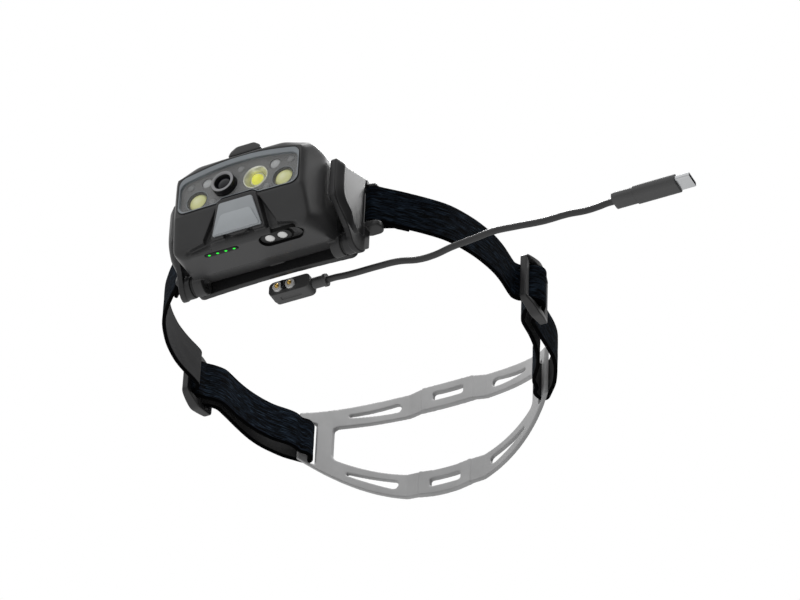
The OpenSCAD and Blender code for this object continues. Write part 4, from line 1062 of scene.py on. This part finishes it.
def makePad(look):
    middle = (look["bottom"] + look["top"]) / 2
    w, h, r = look["halfWidth"], (look["top"] - look["bottom"]) / 2, look["corner"]
    border = roundCorners([(-w, -h, r), (w, -h, r), (w, h, r), (-w, h, r)], look["cornerSteps"])
    outline = []
    for first, last in zip(border, border[1:] + border[:1]):
        count = max(1, round((last - first).length / look["outlineStep"]))
        outline += [first.lerp(last, k / count) for k in range(count)]

    def at(x, z, depth):
        return Vector((x, look["seatY"] + depth, middle + z))

    loops = [[at(0, 0, padDepth(look, 0, 0, 0))]]
    for ring in range(1, look["rings"] + 1):
        share = math.sin(0.5 * math.pi * ring / look["rings"])
        spots = [(p.x * share, p.y * share) for p in outline]
        loops.append([at(x, z, padDepth(look, x, z, share)) for x, z in spots])
    for shrink, depth in look["foot"]:
        loops.append([at(p.x * shrink, p.y * shrink, depth) for p in outline])
    seams = []
    for x in look["channels"]:
        heights = [h * look["seamShare"] * (2 * k / look["seamSteps"] - 1) for k in range(look["seamSteps"] + 1)]
        seams.append([at(x, z, padDepth(look, x, z, abs(z) / h) - look["seamSunk"]) for z in heights])
    return loft("foreheadPad", loops, caps=True, sharp=50), seams


foreheadPad, padSeams = makePad(padLook)
finishPiece(foreheadPad, materials["foam"], "head_frame", "foam", "forehead_pad")

# Stitches: one thread at each step of the seam lines, as (spacing, thickness, length)
stitchLook = {"pad": (2.6, 0.24, 0.95), "strap": (1.5, 0.2, 0.55)}


def sewSeams(name, lines, sizes, slot):
    spacing, thick, long = sizes
    seam = runTree(lineObject(name, lines), stitchTree, {
        "Spacing": spacing * mm, "Thread": [thick * mm, thick * mm, long * mm],
        "Material": materials["thread"]})
    finishPiece(seam, materials["thread"], "head_frame", slot)


sewSeams("padStitches", padSeams, stitchLook["pad"], "foam")
print("pad done")

# Rear band: its middle steps inwards over a ramp at each end
rampLook = {"centreY": 1.5, "rise": 1.7, "from": 15.0, "to": 20.5}


def shapeBand(piece, look):
    for vert in piece.data.vertices:
        spot = vert.co / mm
        arm = Vector((spot.x, spot.y - look["centreY"]))
        share = min(1, max(0, (look["to"] - abs(spot.x)) / (look["to"] - look["from"])))
        arm -= arm.normalized() * look["rise"] * share
        vert.co = Vector((arm.x, arm.y + look["centreY"], spot.z)) * mm
    piece.data.update()


shapeBand(bpy.data.objects["softBand"], rampLook)

# Slide buckles: the top and bottom rails swell outwards into thumb grips
railLook = {"middle": 30.0, "from": 11.0, "swell": 1.8}


def shapeBuckle(piece, node, sign, look):
    low, high = (Vector(corner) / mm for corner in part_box(node))
    centre, half = (low.y + high.y) / 2, (high.y - low.y) / 2
    inner, outer = (low.x, high.x) if sign > 0 else (high.x, low.x)
    for vert in piece.data.vertices:
        spot = vert.co / mm
        if abs(spot.z - look["middle"]) > look["from"]:
            share = (spot.x - inner) / (outer - inner)
            bow = max(0, 1 - ((spot.y - centre) / half) ** 2)
            vert.co.x += sign * look["swell"] * mm * bow * share
    piece.data.update()


for side, sign in sideSigns.items():
    shapeBuckle(bpy.data.objects[side + "SlideBuckle"], side + "_buckle", sign, railLook)

# Head strap: routes in millimetres for the right-hand half, in plan
strapLook = {
    "width": 20.5,
    "thickness": 1.8,
    "height": 30.0,
    "bar": (46.5, -88.5),
    "barTurn": 40,
    "barWrap": 2.65,
    "runEntry": (81.3, -16.55),
    "runExit": (81.3, 6.55),
    "returnEnd": (77.2, 6.55),
    "midBar": (87.0, -6.0),
    "midWrap": 3.0,
    "passWrap": 4.95,
    "bandRadius": 84.0,
    "bandY": 1.5,
    "bandEnd": 49.5,
    "stripOff": 2.3,
    "stripLength": 5.0,
    "runShape": [(0.15, 0.02), (0.33, 0.1), (0.53, 0.2), (0.74, 0.33), (0.9, 0.5), (0.99, 0.67),
                 (1.014, 0.82)],
    "outerShape": [(0.04, 0.14), (0.1, 0.36), (0.17, 0.53), (0.35, 0.7), (0.7, 0.89)],
    "innerShape": [(0.96, 0.9), (0.8, 0.8), (0.52, 0.67), (0.31, 0.52), (0.17, 0.37), (0.09, 0.25),
                   (0.03, 0.12)],
    "passEntry": [(0.1, 0.6), (1.9, 3.6)],
    "passTurns": (-48, -4, 42),
    "passLeave": [(3.2, -5.4), (0.8, -2.5), (0, 0), (0, 1)],
    "routeSteps": 5,
    "rearSteps": 6,
    "rearStep": 0.6,
    "step": 0.8,
    "relax": 4,
    "sharp": 55,
    "flapLength": 17.0,
    "flapWidth": 0.93,
    "flapGap": 0.35,
    "flapReach": 2.4,
    "flapPoints": (12, 11, 10, 9, 8),
    "flapRows": (2.4, 4.0, 9.6),
    "rowHalf": 8,
    "threadLift": 0.06,
    "sectionSteps": 30,
    "edgeRound": 0.85,
    "selvedge": 1.15,
    "ripple": (0.22, 0.09, 0.10),
    "sway": (0.035, 0.35),
    "waveSeeds": (1, 7),
}


def between(first, last, shares):
    return [Vector((first.x + (last.x - first.x) * x, first.y + (last.y - first.y) * y)) for x, y in shares]


def around(centre, radius, degrees):
    return centre + radius * Vector((math.cos(math.radians(degrees)), math.sin(math.radians(degrees))))


def smoothLine(points, steps):
    line = []
    last = len(points) - 1
    for i in range(last):
        a, b, c, d = (points[min(max(k, 0), last)] for k in (i - 1, i, i + 1, i + 2))
        for k in range(steps):
            t = k / steps
            line.append(0.5 * (2 * b + (c - a) * t + (2 * a - 5 * b + 4 * c - d) * t ** 2
                               + (3 * b - a - 3 * c + d) * t ** 3))
    line.append(points[-1])
    return line


def evenLine(points, step):
    # the same line with points an equal step apart
    lengths = [0.0]
    for first, second in zip(points, points[1:]):
        lengths.append(lengths[-1] + (second - first).length)
    count = max(2, round(lengths[-1] / step))
    line, k = [], 0
    for i in range(count + 1):
        want = lengths[-1] * i / count
        while k < len(points) - 2 and lengths[k + 1] < want:
            k += 1
        share = (want - lengths[k]) / max(1e-9, lengths[k + 1] - lengths[k])
        line.append(points[k].lerp(points[k + 1], min(1, share)))
    return line, lengths[-1] / count


def strapRoutes(look):
    bar, entry, leave, back, mid = (
        Vector(look[key]) for key in ("bar", "runEntry", "runExit", "returnEnd", "midBar"))
    turn, steps = look["barTurn"], look["routeSteps"]
    direction, side = (around(Vector((0, 0)), 1, a) for a in (turn, turn - 90))
    run = smoothLine([bar + side * look["barWrap"]] + between(bar, entry, look["runShape"])
                     + [entry - Vector((0, 3)), entry + Vector((0, 1))], steps)
    # the sewn flap lies on the run, then the webbing goes round the bar
    flap = []
    for i in look["flapPoints"]:
        heading = (run[i + 1] - run[i - 1]).normalized()
        flap.append(run[i] + (look["thickness"] + look["flapGap"]) * Vector((-heading.y, heading.x)))
    flap = smoothLine(flap + [bar - side * look["barWrap"] + direction * look["flapReach"]], 3)
    wrap = [around(bar, look["barWrap"], a) for a in range(turn + 90, turn + 271, 20)]
    # the two lengths meet behind the buckle's bar
    meet = smoothLine([entry - Vector((0, 3)), entry, entry + Vector((0.5, 1.5))], steps)
    front = flap + wrap + run[1:-steps - 1] + meet
    rear = [entry + Vector(shift) for shift in look["passEntry"]]
    rear.append(Vector((mid.x, mid.y - look["passWrap"] - 0.9)))
    rear += [around(mid, look["passWrap"], a) for a in look["passTurns"]]
    rear.append(mid + Vector((0.4, look["passWrap"] + 0.5)))
    rear += [leave + Vector(shift) for shift in look["passLeave"]]
    # round the band's end strip and back
    turned = math.radians(look["bandEnd"])
    outward = Vector((math.sin(turned), math.cos(turned)))
    along = Vector((math.cos(turned), -math.sin(turned)))
    strip = Vector((0, look["bandY"])) + look["bandRadius"] * outward
    outerEnd = strip + look["stripOff"] * outward + 3 * along
    innerEnd = strip - (look["stripOff"] + 2.4) * outward
    edge = strip - look["stripLength"] / 2 * along
    rear += between(leave, outerEnd, look["outerShape"]) + [outerEnd, strip + look["stripOff"] * outward]
    for angle in (math.radians(a) for a in range(90, -55, -36)):
        rear.append(edge + look["stripOff"] * (math.sin(angle) * outward - math.cos(angle) * along))
    rear += [innerEnd - along, innerEnd + 3 * along]
    rear += between(back, innerEnd + 3 * along, look["innerShape"])
    rear += [back, back + Vector((0.8, -5)), mid + Vector((-look["midWrap"] - 2.6, 2.6))]
    rear += [around(mid, look["midWrap"], a) for a in range(180, 381, 40)]
    rear = evenLine(smoothLine(rear, look["rearSteps"]), look["rearStep"])[0]
    relaxLine(rear, look["relax"])
    return front, rear


def strapSection(look):
    # closed outline of the webbing, as (across, through, face, edge): the outer face comes first
    half, thick, count = look["width"] / 2, look["thickness"] / 2, look["sectionSteps"]
    bend = thick * look["edgeRound"]
    flat = half - bend
    outline = []
    for side, face in ((1, 1.0), (-1, 0.0)):
        for i in range(count + 1):
            z = side * flat * (2 * i / count - 1)
            outline.append((z, side * thick, face, 1.0 if abs(z) > half - look["selvedge"] else 0.0))
        for angle in (math.radians(a) for a in (60, 30, 0, -30, -60)):
            outline.append((side * (flat + bend * math.cos(angle)), side * thick * math.sin(angle), 0.5, 1.0))
    return outline


def strapMesh(name, route, look, mirror, flap):
    # the outer face lies to the right of the route
    line, step = evenLine(route, look["step"])
    outline = strapSection(look)
    rippleAcross, rippleAlong, rippleSize = look["ripple"]
    swayAlong, swaySize = look["sway"]
    rippleSeed, swaySeed = look["waveSeeds"]
    verts, faces, uvs, faceShare, edgeShare = [], [], [], [], []
    for i, point in enumerate(line):
        heading = (line[min(i + 1, len(line) - 1)] - line[max(i - 1, 0)]).normalized()
        normal = Vector((heading.y, -heading.x))
        narrow = look["flapWidth"] if flap and i * step < look["flapLength"] else 1.0
        sway = noise.noise(Vector((0, i * step * swayAlong, swaySeed))) * swaySize
        for across, through, face, edge in outline:
            ripple = noise.noise(Vector((across * rippleAcross, i * step * rippleAlong, rippleSeed))) * rippleSize
            spot = point + normal * (through + ripple)
            verts.append(Vector((spot.x * mirror, spot.y, look["height"] + across * narrow + sway)) * mm)
            faceShare.append(face)
            edgeShare.append(edge)
            uvs.append((across / look["width"] + 0.5, i * step / look["width"]))
    size = len(outline)
    for i in range(len(line) - 1):
        for k in range(size):
            n = (k + 1) % size
            faces.append((i * size + k, i * size + n, (i + 1) * size + n, (i + 1) * size + k))
    faces.append(tuple(range(size)))
    faces.append(tuple(range((len(line) - 1) * size, len(line) * size)))
    mesh = bpy.data.meshes.new(name)
    mesh.from_pydata(verts, [], faces)
    mesh.update()
    for key, values in (("face", faceShare), ("edge", edgeShare)):
        mesh.attributes.new(key, "FLOAT", "POINT").data.foreach_set("value", values)
    layer = mesh.uv_layers.new(name="weave")
    for loop in mesh.loops:
        layer.data[loop.index].uv = uvs[loop.vertex_index]
    work = bmesh.new()
    work.from_mesh(mesh)
    bmesh.ops.recalc_face_normals(work, faces=work.faces)
    work.to_mesh(mesh)
    work.free()
    shadeSmooth(mesh)
    mesh.set_sharp_from_angle(angle=math.radians(look["sharp"]))
    return mesh


def flapSeams(route, look, mirror):
    # rows across the sewn flap, on the side that faces the head
    line, step = evenLine(route, look["step"])
    rows = []
    for distance in look["flapRows"]:
        i = round(distance / step)
        heading = (line[i + 1] - line[i - 1]).normalized()
        spot = line[i] + Vector((heading.y, -heading.x)) * (look["thickness"] / 2 + look["threadLift"])
        steps = range(-look["rowHalf"], look["rowHalf"] + 1)
        rows.append([Vector((spot.x * mirror, spot.y, look["height"] + across)) for across in steps])
    return rows


frontRoute, rearRoute = strapRoutes(strapLook)
blendLook = {"front": (-0.046, -0.018), "rear": (0.034, 0.008), "side": 0.081, "height": 0.03}  # in metres
for side, sign in sideSigns.items():
    for part, route, nodes in (("front", frontRoute, ["run"]), ("rear", rearRoute, ["tail", "wrap"])):
        name = side + part.capitalize() + "Strap"
        strap = addObject(name, strapMesh(name, route, strapLook, sign, part == "front"))
        strap.data.materials.append(materials["webbing"])
        x, z = sign * blendLook["side"], blendLook["height"]
        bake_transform(strap)
        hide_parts(*(side + "_strap_" + node for node in nodes))
for side, sign in sideSigns.items():
    rows = flapSeams(frontRoute, strapLook, sign)
    sewSeams(side + "StrapStitches", rows, stitchLook["strap"], "webbing")
print("straps done")

# Stage: pale floor that shows from above only, soft white surroundings and studio lamps
stageLook = {
    "floorColour": (0.82, 0.82, 0.82),
    "floorRough": 0.9,
    "floorHalf": 6,
    "floorHeight": -0.0004,
    "worldTop": 1.05,
    "worldSide": 0.5,
    "worldBottom": 0.8,
    "worldSpan": 0.8,
    "rightShade": 0.2,
    "rightSpan": (0.15, 0.7),
}


def makeFloor(look):
    half, z = look["floorHalf"], look["floorHeight"]
    mesh = bpy.data.meshes.new("studioFloor")
    mesh.from_pydata([(-half, -half, z), (half, -half, z), (half, half, z), (-half, half, z)], [], [(0, 1, 2, 3)])
    floor = addObject("studioFloor", mesh)
    material, tree, shader = startMaterial("floorPaper")
    setInputs(tree, shader, {"Base Color": (*look["floorColour"], 1), "Roughness": look["floorRough"]})
    geometry = addNode(tree, "ShaderNodeNewGeometry")
    clear = addNode(tree, "ShaderNodeBsdfTransparent")
    pick = addNode(tree, "ShaderNodeMixShader", {
        0: geometry.outputs["Backfacing"], 1: shader.outputs[0], 2: clear.outputs[0]})
    setInputs(tree, tree.nodes["Material Output"], {"Surface": pick.outputs[0]})
    mesh.materials.append(material)
    floor.visible_shadow = floor.visible_diffuse = False
    floor.visible_glossy = floor.visible_transmission = False


def makeWorld(look):
    world = bpy.data.worlds.new("studio")
    scene.world = world
    world.use_nodes = True
    tree = world.node_tree
    place = addNode(tree, "ShaderNodeTexCoord")
    split = addNode(tree, "ShaderNodeSeparateXYZ", {0: place.outputs["Generated"]})
    top, side, bottom, span = (look[key] for key in ("worldTop", "worldSide", "worldBottom", "worldSpan"))
    upper = spread(tree, split.outputs["Z"], side, top, 0, span)
    lower = spread(tree, split.outputs["Z"], bottom, side, -span, 0)
    above = calculate(tree, "GREATER_THAN", split.outputs["Z"], 0)
    level = addNode(tree, "ShaderNodeMix", {0: above, 2: lower, 3: upper}, data_type="FLOAT")
    # a dark flag on the right
    flag = spread(tree, split.outputs["X"], 1, look["rightShade"], *look["rightSpan"])
    shaded = calculate(tree, "MULTIPLY", level.outputs[0], flag)
    # the backdrop itself stays plain white
    path = addNode(tree, "ShaderNodeLightPath")
    seen = addNode(tree, "ShaderNodeMix", {0: path.outputs["Is Camera Ray"], 2: shaded, 3: 1.0}, data_type="FLOAT")
    setInputs(tree, tree.nodes["Background"], {"Color": (1, 1, 1, 1), "Strength": seen.outputs[0]})


def addLamp(name, spot, target, size, power):
    data = bpy.data.lights.new(name, "AREA")
    data.shape = "RECTANGLE"
    data.size, data.size_y = size
    data.energy = power
    lamp = addObject(name, data)
    aim = Vector(target) - Vector(spot)
    lamp.matrix_world = Matrix.Translation(spot) @ aim.to_track_quat("-Z", "Y").to_matrix().to_4x4()
    lamp.visible_camera = False


makeFloor(stageLook)
makeWorld(stageLook)
lamps = {  # place, aim, size and power
    "topSoftbox": ((0.25, 0.05, 0.9), (0, -0.05, 0.03), (0.7, 0.7), 4.2),
    "backSoft": ((0.03, 0.03, 0.25), (0.035, -0.11, 0.045), (0.08, 0.10), 0.45),
    "wingCard": ((0.110, -0.034, 0.128), (0.042, -0.10, 0.047), (0.04, 0.04), 0.05),
}
for name, settings in lamps.items():
    addLamp(name, *settings)
scene.view_settings.view_transform = "Standard"
scene.view_settings.look = "None"
print("stage done")
